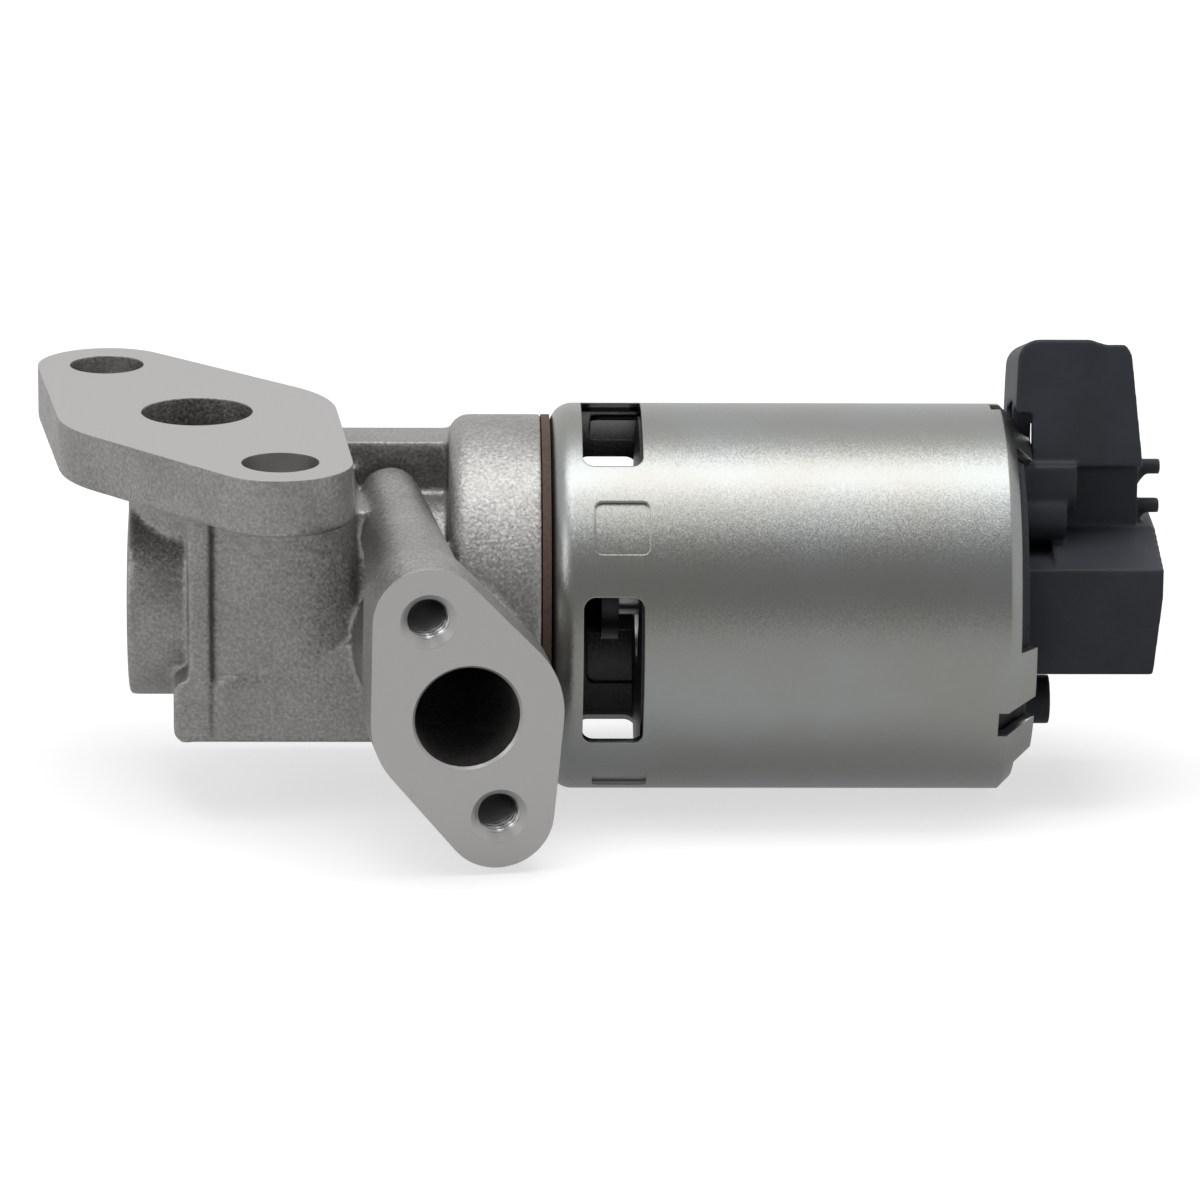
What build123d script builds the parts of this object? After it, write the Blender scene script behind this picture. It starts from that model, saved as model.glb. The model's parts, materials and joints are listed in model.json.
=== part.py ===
from build123d import *
import math
import os

# An electric exhaust gas recirculation valve: cast body, poppet, solenoid in a steel can, sensor cap.
# Millimetres. The origin is the centre of the top port on its sealing face, +Z out of that face,
# +X along the valve's axis towards the connector.

# Top flange
axis_drop = 24.5              # sealing face down to the valve's axis
top_flange_thickness = 7.5
top_port_bore = 14.4
top_pad_radius = 18.0
top_bolt_spacing = 55.6
top_bolt_turn = 25.5          # degrees from Y to the line of the two holes
top_bolt_hole = 9.8
top_ear_radius = 9.1
top_bolt_offset = 0.8         # line of the holes to the port's centre
flange_edge_radius = 0.6

# Cast body, along X from the top port
body_overhang = 8.8           # port centre back to the end of the left boss
block_start = 0.8             # port centre back to the block's side face
block_length = 21.2
collar_start = 32.4
collar_length = 11.9
boss_radius = 12.9
riser_radius = 8.9
block_front = 18.0            # valve axis to the block's front rib and band
block_back = 16.0
block_floor = 14.8
rib_width = 3.0
groove_width = 0.9
groove_depth = 0.9
recess_depth = 1.6
recess_crown = 30.0           # radius of the recessed wall's bulge
ramp_length = 9.9             # in the recess's lower right corner
ramp_rise = 5.4
web_front = 16.0              # valve axis to the web between the block and the pipe
web_top = 15.6
band_height = 8.4
lug_reach = 1.9
lug_corner = 1.8
neck_radius = 13.4
spine_height = 20.3
spine_front = 0.6             # valve axis back to the spine's front face
spine_thickness = 8.0
collar_inset = 1.5            # can's outside to the collar's
collar_edge = 2.6
cast_edge = 1.2

# Front flange, on a pipe that leaves the valve's axis at a compound angle
front_meets_axis = 27.8       # where the pipe's axis crosses the valve's axis
front_reach = 42.7
front_yaw = 9.4               # degrees towards the solenoid
front_droop = 5.3             # degrees below level
front_flange_thickness = 8.0
front_port_bore = 13.2
front_port_chamfer = 0.4
front_pad_radius = 12.2
front_bolt_spacing = 28.1
front_bolt_turn = 19.5        # degrees from upright to the line of the two holes
front_ear_radius = 7.0
front_bolt_offset = 0.5       # line of the holes to the port's centre
front_pipe_radius = 10.4
tapping_drill = 5.0           # for a 6 mm thread
countersink_bore = 7.2
countersink_depth = 0.9
tapped_depth = 14.0
lower_lug_radius = 5.6
lower_lug_wall = 2.0
stay_small_radius = 3.9
stay_swing = 2.0              # far end to the right of the upper hole's axis
stay_rise = 0.3
stay_large_radius = 6.4

# Gas passages, seat and poppet
chamber_radius = 9.6
gas_chamber_radius = 8.6
plug_inset = 0.2
plug_floor = 0.7
plug_wall = 1.4
plug_depth = 1.3              # stays left of the top port
seat_start = 11.6
seat_length = 4.4
seat_throat = 5.6
seat_land = 0.8
gas_chamber_end = 37.0        # right of the front port's bore
seat_gap = 0.05               # between poppet and seat when shut
poppet_radius = 7.4
poppet_rim = 1.4
stem_diameter = 5.0
valve_stroke = 5.0
running_gap = 0.04
fit_gap = 0.05
shield_thickness = 0.5
shield_lip = 1.0
shield_clearance = 0.6
guide_radius = 4.9
guide_flange_radius = 7.2
guide_flange_thickness = 1.5
guide_reach = 9.6             # bush beyond the collar's face
guide_cap_radius = 5.7
guide_cap_length = 1.7

# Solenoid can
gasket_thickness = 1.1
gasket_bore = 8.6
can_radius = 25.0
can_wall = 1.2
can_base = 1.4
can_shoulder = 3.0
can_base_hole = 8.6
can_length = 58.2             # base to the start of the crimp
window_start = 4.05            # can base to the windows
window_length = 7.7
window_width = 20.4
window_corner = 1.5
window_count = 4
window_cut = 6.0              # from the can's surface inwards
window_turn = 8.9             # degrees below level to the front window's middle
dimple_length = 7.0
dimple_end = 12.5             # can base to the dimples' right side
plate_lead = 0.3              # plate's face inside the windows' edge
dimple_width = 7.2
dimple_corner = 1.0
dimple_depth = 0.5
crimp_rim = 1.5               # along X, all round
crimp_tab = 3.7               # along X, at the tabs
crimp_groups = 3
crimp_first_tab = (182.0, 201.0)      # degrees from +Y towards +Z
crimp_second_tab = (210.0, 229.5)
crimp_slot_depth = 1.2
screw_circle = 12.0
screw_count = 4
screw_diameter = 4.0
screw_head_radius = 3.4
screw_head_height = 2.4
screw_length = 8.0
screw_socket = 3.0

# Magnet circuit
plate_thickness = 3.2
sleeve_bore = 8.1
sleeve_wall = 0.6
armature_start = 1.0          # lower pole plate's face to the armature
armature_chamfer = 0.6
spring_pocket_radius = 6.0
spring_pocket_depth = 6.2
pole_gap = 0.3                # left between armature and pole at full lift
pole_pocket_depth = 6.8
pole_length = 11.9
stem_thread = 4.0
nut_flats = 6.6
nut_height = 2.4
stem_proud = 0.8
spring_mean_radius = 4.9
spring_wire = 1.0
spring_coils = 5
wire_facets = 8
bobbin_wall = 1.4
bobbin_flange = 2.0
bobbin_clearance = 2.4        # can's inside to the flanges
winding_clearance = 1.8       # flanges' edge to the winding
coil_pin_radius = 0.6
coil_pin_clearance = 0.6
coil_pin_offset = 16.0
coil_pin_spread = 9.0         # degrees either side of the top

# Sensor cap with the connector, moulded in one piece
cap_skirt = 4.7               # upper plate to the shoulder under the crimp
crimp_seat = 1.25             # shoulder to the start of the crimp
cap_disc_inset = 3.4          # can's outside to the disc's
cap_step_inset = 0.5
cap_disc_proud = 1.7
cap_step_proud = 0.9
seal_section = 2.0
seal_squeeze = 0.15
seal_setback = 1.2
pocket_clearance = 0.25
sensor_box_length = 20.3
sensor_box_front = 14.0
sensor_box_back = 13.0
sensor_box_top = 7.4
sensor_box_floor = 6.6
sensor_box_slope = 2.3
sensor_box_slope_start = 6.5  # beyond the can's crimp
sensor_box_draft = 1.0        # taken off the end face's lower edge
sensor_box_draft_from = 3.4
sensor_wall = 2.0
sensor_bay_width = 17.0
sensor_bay_height = 9.4
neck_front = 1.2
neck_back = 9.0
neck_length = 17.9
peg_radius = 1.0
peg_reach = 3.1
peg_upper = (3.0, 17.0)       # (back from the neck's front, above the valve's axis)
peg_lower = (3.0, 11.8)
gusset_reach = 1.9
gusset_drop = 2.6
gusset_thickness = 1.4
connector_lean = 16.0         # degrees, top edge towards the back
connector_top = 33.0
connector_height = 16.4
connector_width = 16.8
connector_start = 1.4         # can's crimp start to the connector's side
connector_front = 9.6
connector_depth = 20.0
connector_corner = 2.8
connector_wall = 1.8
connector_floor = 3.0
connector_draft = 1.6
connector_step_width = 3.2    # lowered strip along the top's solenoid-far edge
connector_step_slope = 2.0
connector_step_drop = 0.65
connector_key_width = 3.0
connector_key_height = 1.2
terminal_count = 5
terminal_pitch = 2.54
terminal_width = 0.8
terminal_length = 7.0
terminal_root = 2.0
post_radius = 3.3
post_lower = (4.2, 12.1, 8.3)     # forward, up, and beyond the can's crimp
post_upper = (3.2, 15.8, 9.5)
foot_radius = 3.2
foot_drop = 14.0
foot_reach = 7.2

# Position sensor
plunger_radius = 1.9
plunger_gap = 0.05
carrier_length = 5.0
carrier_width = 11.0
carrier_top = 3.4
carrier_floor = 2.4
carrier_grip = 3.0
track_thickness = 0.8
track_width = 15.0
track_length = 16.5
wiper_width = 1.2
wiper_thickness = 0.3
wiper_gap = 0.1
wiper_spread = 3.0
sensor_spring_radius = 2.3
sensor_spring_wire = 0.5
sensor_spring_coils = 5
film_thickness = 0.15
film_width = 2.2
film_margin = 1.0

# Stations along X that follow from the lengths above
body_end = collar_start + collar_length
can_start = body_end + gasket_thickness
can_floor = can_start + can_base
windows_from = can_start + window_start
dimples_to = can_start + dimple_end
dimples_from = dimples_to - dimple_length
lower_plate_x = windows_from + window_length - plate_lead
bobbin_x = lower_plate_x + plate_thickness
crimp_x = can_start + can_length
cap_shoulder_x = crimp_x - crimp_seat
cap_x = cap_shoulder_x - cap_skirt
upper_plate_x = cap_x - plate_thickness
seat_x = seat_start + seat_length
pole_x = cap_x - pole_length
pole_pocket_x = pole_x + pole_pocket_depth
armature_x = lower_plate_x + armature_start
armature_end = pole_x - pole_gap - valve_stroke
pocket_x = armature_end - spring_pocket_depth
stem_end = pocket_x + nut_height + stem_proud
sensor_box_x = crimp_x + sensor_box_length
bay_end = sensor_box_x - sensor_wall
carrier_x = cap_x + fit_gap

# Sizes that follow from the can
can_inner = can_radius - can_wall
collar_radius = can_radius - collar_inset
bobbin_flange_radius = can_inner - bobbin_clearance
winding_radius = bobbin_flange_radius - winding_clearance
cap_disc_radius = can_radius - cap_disc_inset
cap_step_radius = cap_disc_radius - cap_step_inset
sleeve_outer = sleeve_bore + sleeve_wall
bay_floor = sensor_bay_height / 2

VALVE = Plane(origin=(0, 0, -axis_drop), x_dir=(1, 0, 0), z_dir=(0, -1, 0))
VALVE_AXIS = Axis((0, 0, -axis_drop), (1, 0, 0))


def turned(points, arc=360.0):
    """A piece turned about the valve's axis, from its (x, radius) outline."""
    return revolve(VALVE * make_face(Polyline(*points, close=True)), VALVE_AXIS, arc)


def rod(x0, x1, radius, y=0.0, z=0.0):
    """A round bar along X, at (y, z) from the valve's axis."""
    start = Plane(origin=(x0, y, z - axis_drop), x_dir=(0, 1, 0), z_dir=(1, 0, 0))
    return extrude(start * Circle(radius), x1 - x0)


def ring(x0, x1, inner, outer):
    """A ring about the valve's axis."""
    return turned([(x0, inner), (x0, outer), (x1, outer), (x1, inner)])


def block(x0, x1, y0, y1, z0, z1):
    """A box between two corners, with z counted from the valve's axis."""
    box = Box(x1 - x0, y1 - y0, z1 - z0, align=(Align.MIN, Align.MIN, Align.MIN))
    return Pos(x0, y0, z0 - axis_drop) * box


def about_axis(piece, degrees):
    """The piece turned about the valve's axis."""
    return piece.rotate(VALVE_AXIS, degrees)


def prism(plane, points, depth):
    """A straight block whose outline lies on a plane, carried along the plane's normal."""
    return extrude(plane * make_face(Polyline(*points, close=True)), depth, dir=plane.z_dir)


def flange_outline(ear_radius, pad_radius, spacing, offset):
    """Two ears and a round pad joined by tangents; the ears lie left of the pad by the offset."""
    rings = [Pos(-offset, side * spacing / 2) * Circle(ear_radius) for side in (-1, 1)] + [Circle(pad_radius)]
    return make_hull([edge for ring in rings for edge in ring.edges()])


def smooth(piece, edges, radius):
    """The piece with these edges rounded."""
    return fillet(edges, radius) if edges else piece


# The two flanges' own planes
TOP = Plane(Rot(0, 0, top_bolt_turn))
yaw = math.radians(front_yaw)
droop = math.radians(front_droop)
front_normal = Vector(math.sin(yaw) * math.cos(droop), -math.cos(yaw) * math.cos(droop), -math.sin(droop))
front_right = Vector(math.cos(yaw), math.sin(yaw), 0)
front_centre = Vector(front_meets_axis, 0, -axis_drop) + front_normal * front_reach
FRONT = Plane(Plane(front_centre, front_right, front_normal).location * Rot(0, 0, front_bolt_turn))


def front_flange():
    """The oval flange, its pipe and the two tapped bosses behind it."""
    outline = flange_outline(front_ear_radius, front_pad_radius, front_bolt_spacing, front_bolt_offset)
    plate = FRONT * extrude(outline, -front_flange_thickness)
    pipe = FRONT * extrude(Circle(front_pipe_radius), -front_reach)
    upper = front_bolt_spacing / 2
    far_end = Pos(stay_swing - front_bolt_offset, upper + stay_rise, -front_reach) * Circle(stay_small_radius)
    near_end = Pos(-front_bolt_offset, upper, -front_flange_thickness) * Circle(stay_large_radius)
    stay = FRONT * loft([near_end, far_end])
    lug_place = FRONT * Pos(-front_bolt_offset, -upper)
    lug = lug_place * extrude(Circle(lower_lug_radius), -tapped_depth - lower_lug_wall)
    return plate + pipe + stay + lug


def top_flange():
    """The plate that bolts to the engine, with its two clearance holes."""
    outline = flange_outline(top_ear_radius, top_pad_radius, top_bolt_spacing, top_bolt_offset)
    plate = extrude(outline, -top_flange_thickness)
    plate = smooth(plate, plate.faces().sort_by(Axis.Z)[0].edges(), flange_edge_radius)
    for side in (-1, 1):
        place = Pos(-top_bolt_offset, side * top_bolt_spacing / 2)
        plate -= place * extrude(Circle(top_bolt_hole / 2), -top_flange_thickness)
    return TOP * plate


def casting_forms():
    """The outside of the casting between the flanges and the collar."""
    under_flange = axis_drop - top_flange_thickness
    left = -body_overhang
    block_x = -block_start
    block_end = block_x + block_length
    boss = rod(left, collar_start, boss_radius)
    riser = Pos(0, 0, -axis_drop) * extrude(Circle(riser_radius), under_flange)
    main = block(block_x, block_end, -block_front, block_back, -block_floor, under_flange)
    main = smooth(main, main.edges().filter_by(Axis.X).sort_by(Axis.Z)[:2], cast_edge)
    recess_x = block_x + rib_width
    recess_z = band_height - block_floor
    recess = block(recess_x, block_end, -block_front, -block_front + recess_depth, recess_z, under_flange)
    bulge_place = Pos((recess_x + block_end) / 2, recess_crown - block_front, recess_z - axis_drop)
    bulge = bulge_place * extrude(Circle(recess_crown), under_flange - recess_z)
    groove = block(recess_x, recess_x + groove_width, -block_front, -block_front + groove_depth,
                   cast_edge - block_floor, under_flange)
    main = main - (recess - bulge) - groove
    front = Plane(origin=(block_end, -block_front, recess_z - axis_drop), x_dir=(1, 0, 0), z_dir=(0, -1, 0))
    ramp = prism(front, [(-ramp_length, 0), (0, 0), (0, ramp_rise)], -recess_depth)
    web = block(block_end - cast_edge, front_meets_axis, -web_front, -boss_radius / 2, recess_z, web_top)
    lug = block(block_x - lug_reach, block_x, -block_front, -boss_radius / 2, -block_floor, recess_z)
    lug = smooth(lug, lug.edges().filter_by(Axis.Y).sort_by(Axis.X)[:2], lug_corner)
    band = block(block_end, collar_start, -block_front, block_back, -block_floor, recess_z)
    band = smooth(band, band.edges().filter_by(Axis.X).sort_by(Axis.Z)[:2], cast_edge)
    neck = rod(block_end - cast_edge, collar_start, neck_radius)
    spine = block(block_x, collar_start, spine_front, spine_front + spine_thickness, 0, spine_height)
    return boss + riser + main + ramp + web + lug + band + neck + spine


def collar():
    """The round end that the solenoid can is screwed to."""
    disc = rod(collar_start, body_end, collar_radius)
    edge = disc.edges().filter_by(GeomType.CIRCLE).sort_by(Axis.X)[0]
    return smooth(disc, [edge], collar_edge)


def valve_body():
    """The aluminium casting with both flanges and all its machined bores."""
    solid = casting_forms() + collar() + top_flange() + front_flange()
    solid -= rod(-body_overhang, seat_x, chamber_radius)
    solid -= rod(seat_x, gas_chamber_end, gas_chamber_radius)
    solid -= rod(gas_chamber_end, body_end, guide_radius)
    solid -= extrude(Circle(top_port_bore / 2), -axis_drop)
    port = extrude(Circle(front_port_bore / 2), -front_reach)
    mouth = loft([Circle(front_port_bore / 2 + front_port_chamfer),
                  Pos(0, 0, -front_port_chamfer) * Circle(front_port_bore / 2)])
    solid -= FRONT * port
    solid -= FRONT * mouth
    for side in (-1, 1):
        place = FRONT * Pos(-front_bolt_offset, side * front_bolt_spacing / 2)
        solid -= place * extrude(Circle(tapping_drill / 2), -tapped_depth)
        solid -= place * loft([Circle(countersink_bore / 2),
                               Pos(0, 0, -countersink_depth) * Circle(tapping_drill / 2)])
    for place in screw_places():
        solid -= rod(can_floor - screw_length - fit_gap, body_end, screw_diameter / 2, *place)
    return solid


def screw_places():
    """(y, z) of the screws that hold the can to the collar, midway between the windows."""
    step = 360 / screw_count
    turns = [math.radians(window_turn + step / 2 + step * i) for i in range(screw_count)]
    return [(screw_circle * math.cos(turn), screw_circle * math.sin(turn)) for turn in turns]


def end_plug():
    """A shallow pressed steel cup that closes the casting's left end."""
    start = -body_overhang + plug_inset
    end = start + plug_depth
    inner = chamber_radius - plug_wall
    outline = [(start, inner), (start, chamber_radius), (end, chamber_radius), (end, 0),
               (end - plug_floor, 0), (end - plug_floor, inner)]
    return turned(outline)


def valve_seat():
    """A hardened ring with a 45 degree land on its right side."""
    land = poppet_radius - seat_throat
    outline = [(seat_start, seat_throat + seat_land), (seat_start, chamber_radius), (seat_x, chamber_radius),
               (seat_x, poppet_radius), (seat_x - land, seat_throat), (seat_start + seat_land, seat_throat)]
    return turned(outline)


def valve_pintle():
    """The poppet and its stem in one piece, threaded at the end for the armature's nut."""
    land = poppet_radius - seat_throat
    slope = math.sqrt(2)
    face_x = seat_x - land + seat_gap * slope
    stem = stem_diameter / 2
    tip = stem_thread / 2
    outline = [(face_x, 0), (face_x, seat_throat), (face_x + land, poppet_radius),
               (face_x + land + poppet_rim, poppet_radius), (face_x + land + 2 * poppet_rim, stem + poppet_rim),
               (face_x + land + 3 * poppet_rim, stem), (armature_x, stem), (armature_x, tip), (stem_end, tip),
               (stem_end, 0)]
    return turned(outline)


def stem_guide():
    """A long bush pressed into the collar, with a flange against the collar's face."""
    bore = stem_diameter / 2 + running_gap
    outline = [(gas_chamber_end, bore), (gas_chamber_end, guide_radius), (body_end, guide_radius),
               (body_end, guide_flange_radius), (body_end + guide_flange_thickness, guide_flange_radius),
               (body_end + guide_flange_thickness, guide_radius), (body_end + guide_reach, guide_radius),
               (body_end + guide_reach, bore)]
    return turned(outline)


def guide_cap():
    """A thin steel cap over the bush's end that wipes soot from the stem."""
    start = body_end + guide_reach - guide_cap_length
    end = body_end + guide_reach + shield_thickness
    bore = stem_diameter / 2 + 2 * running_gap
    outline = [(start, guide_radius), (start, guide_cap_radius), (end, guide_cap_radius), (end, bore),
               (body_end + guide_reach, bore), (body_end + guide_reach, guide_radius)]
    return turned(outline)


def stem_shield():
    """A pressed cup that keeps the gas stream off the bush's mouth."""
    end = gas_chamber_end
    inner = stem_diameter / 2 + shield_clearance
    lip = gas_chamber_radius - shield_thickness
    outline = [(end - shield_lip, lip), (end - shield_lip, gas_chamber_radius), (end, gas_chamber_radius),
               (end, inner), (end - shield_thickness, inner), (end - shield_thickness, lip)]
    return turned(outline)


def body_gasket():
    """The brown fibre gasket between collar and can."""
    ring = rod(body_end, can_start, collar_radius) - rod(body_end, can_start, gasket_bore)
    for place in screw_places():
        ring -= rod(body_end, can_start, screw_diameter / 2 + fit_gap, *place)
    return ring


def crimp_profile(length):
    """The can's wall turned in at 45 degrees for a length along X."""
    drop = can_wall * math.sqrt(2)
    inset = can_wall / math.sqrt(2)
    end_x, end_radius = crimp_x + length, can_radius - length
    return [(crimp_x - inset, can_inner), (crimp_x - inset, can_radius), (crimp_x, can_radius),
            (end_x, end_radius), (end_x - inset, end_radius - inset),
            (crimp_x + can_wall - drop, can_inner)]


def sector(profile, start, end):
    """The part of a turned profile between two angles, counted from +Y towards +Z."""
    piece = turned(profile, end - start)
    return about_axis(piece, start - 90)


def can_opening(length, width, corner, at_x, turn):
    """A rounded block that stands through the can's wall at an angle from +Y towards +Z."""
    plane = Plane(origin=(at_x + length / 2, 0, -axis_drop), x_dir=(1, 0, 0), z_dir=(0, 1, 0))
    outside = Plane(plane.origin + plane.z_dir * (can_radius + can_wall), plane.x_dir, plane.z_dir)
    tool = extrude(outside * RectangleRounded(length, width, corner), -window_cut - can_wall)
    return about_axis(tool, turn)


def solenoid_can():
    """The drawn steel can: windows and dimples near its base, a rolled mouth with crimped tabs."""
    shell = rod(can_start, crimp_x, can_radius)
    edge = shell.edges().filter_by(GeomType.CIRCLE).sort_by(Axis.X)[0]
    shell = smooth(shell, [edge], can_shoulder)
    inside = rod(can_floor, crimp_x, can_inner)
    edge = inside.edges().filter_by(GeomType.CIRCLE).sort_by(Axis.X)[0]
    shell -= smooth(inside, [edge], can_shoulder - can_wall)
    shell += turned(crimp_profile(crimp_rim))
    step = 360 / crimp_groups
    for group in range(crimp_groups):
        for start, end in (crimp_first_tab, crimp_second_tab):
            shell += sector(crimp_profile(crimp_tab), start + group * step, end + group * step)
        low, high = can_inner - crimp_tab, can_radius + can_wall
        slot = [(crimp_x - crimp_slot_depth, low), (crimp_x - crimp_slot_depth, high),
                (crimp_x + crimp_tab, high), (crimp_x + crimp_tab, low)]
        shell -= sector(slot, crimp_first_tab[1] + group * step, crimp_second_tab[0] + group * step)
    shell -= rod(can_start, can_floor, can_base_hole)
    for i in range(window_count):
        turn = window_turn + 360 / window_count * i
        shell -= can_opening(window_length, window_width, window_corner, windows_from, turn)
    for i in range(window_count):
        turn = window_turn + 360 / window_count * (i + 0.5)
        tool = can_opening(dimple_length, dimple_width, dimple_corner, dimples_from, turn)
        shell -= tool & ring(dimples_from, dimples_to, can_radius - dimple_depth, can_radius + can_wall)
        shell += tool & ring(dimples_from, dimples_to, can_inner - dimple_depth, can_inner + fit_gap)
    for place in screw_places():
        shell -= rod(can_start, can_floor, screw_diameter / 2 + fit_gap, *place)
    return shell


def can_screws():
    """Four socket screws that hold the can to the collar, fitted from inside the can."""
    screws = []
    for place in screw_places():
        screw = rod(can_floor - screw_length, can_floor, screw_diameter / 2, *place)
        screw += rod(can_floor, can_floor + screw_head_height, screw_head_radius, *place)
        top = Plane(origin=(can_floor + screw_head_height, place[0], place[1] - axis_drop), z_dir=(1, 0, 0))
        screw -= extrude(top * RegularPolygon(screw_socket / 2, 6), -screw_head_height / 2)
        screws.append(screw)
    return Compound(screws)


def lower_pole_plate():
    """The magnet circuit's left plate, with a rebate that the can's dimples lock into."""
    plate = rod(lower_plate_x, bobbin_x, can_inner - fit_gap) - rod(lower_plate_x, bobbin_x, sleeve_outer)
    rebate = rod(lower_plate_x, dimples_to + fit_gap, can_radius)
    return plate - (rebate - rod(lower_plate_x, bobbin_x, can_inner - dimple_depth - fit_gap))


def upper_pole_plate():
    """The magnet circuit's right plate, with two holes for the coil's pins."""
    plate = rod(upper_plate_x, cap_x, can_inner - fit_gap) - rod(upper_plate_x, cap_x, sleeve_outer)
    for place in pin_places():
        plate -= rod(upper_plate_x, cap_x, coil_pin_radius + coil_pin_clearance, *place)
    return plate


def pin_places():
    """(y, z) of the coil's two pins."""
    turns = [math.radians(90 + side * coil_pin_spread) for side in (-1, 1)]
    return [(coil_pin_offset * math.cos(turn), coil_pin_offset * math.sin(turn)) for turn in turns]


def armature_sleeve():
    """The thin non-magnetic tube that the armature slides in."""
    return rod(lower_plate_x, cap_x, sleeve_outer) - rod(lower_plate_x, cap_x, sleeve_bore)


def armature():
    """The iron core that the coil pulls, with a pocket for the nut and the return spring."""
    outer = sleeve_bore - running_gap
    core = rod(armature_x, armature_end, outer)
    edges = core.edges().filter_by(GeomType.CIRCLE)
    core = chamfer(edges, armature_chamfer)
    core -= rod(armature_x, armature_end, stem_thread / 2)
    core -= rod(pocket_x, armature_end, spring_pocket_radius)
    return core


def stem_nut():
    """The nut that clamps the armature on the stem."""
    start = Plane(origin=(pocket_x, 0, -axis_drop), z_dir=(1, 0, 0))
    nut = extrude(start * RegularPolygon(nut_flats / 2, 6, major_radius=False), nut_height)
    return nut - rod(pocket_x, pocket_x + nut_height, stem_thread / 2)


def pole_piece():
    """The fixed core that attracts the armature, bored for the sensor's plunger."""
    end = cap_x
    core = rod(pole_x, end, sleeve_bore)
    core -= rod(pole_x, pole_pocket_x, spring_pocket_radius)
    return core - rod(pole_pocket_x, end, plunger_radius + running_gap)


def coil_spring(start, end, radius, wire, coils):
    """An open coil spring along the valve's axis."""
    pitch = (end - start - wire) / coils
    helix = Helix(pitch, end - start - wire, radius)
    path = Location(Plane(origin=(start + wire / 2, 0, -axis_drop), z_dir=(1, 0, 0))) * helix
    section = Plane(origin=path @ 0, z_dir=path % 0) * RegularPolygon(wire / 2, wire_facets)
    return sweep(section, path, is_frenet=True)


def return_spring():
    """Shuts the valve when the coil is off."""
    return coil_spring(pocket_x, pole_pocket_x, spring_mean_radius, spring_wire, spring_coils)


def coil_bobbin():
    """The moulded spool that carries the winding."""
    inner = sleeve_outer + fit_gap
    hub = inner + bobbin_wall
    end = upper_plate_x
    edge = bobbin_flange_radius
    outline = [(bobbin_x, inner), (bobbin_x, edge), (bobbin_x + bobbin_flange, edge),
               (bobbin_x + bobbin_flange, hub), (end - bobbin_flange, hub),
               (end - bobbin_flange, edge), (end, edge), (end, inner)]
    spool = turned(outline)
    for place in pin_places():
        spool -= rod(end - bobbin_flange, end, coil_pin_radius, *place)
    return spool


def coil_winding():
    """The copper wire, wound as one solid."""
    hub = sleeve_outer + fit_gap + bobbin_wall
    start = bobbin_x + bobbin_flange
    end = upper_plate_x - bobbin_flange
    return rod(start, end, winding_radius) - rod(start, end, hub)


def coil_pins():
    """The coil's two pins, which pass through the upper plate into the cap."""
    start = upper_plate_x - bobbin_flange
    return Compound([rod(start, cap_x + seal_section, coil_pin_radius, *place) for place in pin_places()])


def cap_profile():
    """The cap's round base: skirt inside the can, shoulder under the crimp, stepped disc outside."""
    skirt = can_inner - fit_gap
    shoulder = skirt - cap_disc_radius
    seal_x = cap_x + seal_setback
    groove = can_inner - seal_section + seal_squeeze
    proud = cap_shoulder_x + shoulder + cap_disc_proud
    return [(cap_x, 0), (cap_x, skirt), (seal_x, skirt), (seal_x, groove), (seal_x + seal_section, groove),
            (seal_x + seal_section, skirt), (cap_shoulder_x, skirt),
            (cap_shoulder_x + shoulder, cap_disc_radius),
            (proud - cap_step_proud, cap_disc_radius), (proud - cap_step_proud, cap_step_radius),
            (proud, cap_step_radius), (proud, 0)]


def cap_seal_ring():
    """The rubber ring in the cap's groove."""
    seal_x = cap_x + seal_setback + seal_section / 2
    radius = can_inner - seal_section / 2
    section = VALVE * (Pos(seal_x, radius) * Circle(seal_section / 2 - seal_squeeze))
    return revolve(section, VALVE_AXIS)


def connector_plane():
    """The connector's front face: x along the valve, y up the face, z out towards the viewer."""
    lean = math.radians(connector_lean)
    out = Vector(0, -math.cos(lean), math.sin(lean))
    middle = connector_top - connector_height / 2
    up = Vector(0, math.sin(lean), math.cos(lean))
    centre = Vector(crimp_x + connector_start + connector_width / 2, 0, -axis_drop) + up * middle
    return Plane(centre + out * connector_front, (1, 0, 0), out)


def connector_shell():
    """The connector's outside, a tapered block with rounded corners."""
    plane = connector_plane()
    front = [(-connector_width / 2 + connector_draft / 2, connector_height / 2),
             (connector_width / 2 - connector_draft, connector_height / 2),
             (connector_width / 2, -connector_height / 2),
             (-connector_width / 2, -connector_height / 2)]
    shell = prism(plane, front, -connector_depth)
    upright = shell.edges().filter_by(Axis(plane.origin, plane.z_dir)).sort_by(Axis.Z)[-2:]
    shell = smooth(shell, upright, connector_corner)
    top = connector_height / 2
    step_x = connector_width / 2 - connector_draft - connector_step_width
    step = [(step_x - connector_step_slope, top), (step_x, top - connector_step_drop),
            (connector_width / 2, top - connector_step_drop), (connector_width / 2, top)]
    return shell - prism(plane, step, -connector_depth)


def connector_cavity():
    """The socket that the plug goes into, open at the back."""
    plane = connector_plane()
    width = connector_width - connector_draft - 2 * connector_wall
    height = connector_height - 2 * connector_wall
    depth = connector_depth - connector_floor
    socket = Pos(0, 0, -connector_floor) * extrude(RectangleRounded(width, height, connector_wall), -depth)
    key_outline = Rectangle(connector_key_width, 2 * connector_key_height)
    key = Pos(0, height / 2, -connector_floor) * extrude(key_outline, -depth)
    return plane * (socket + key)


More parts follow.
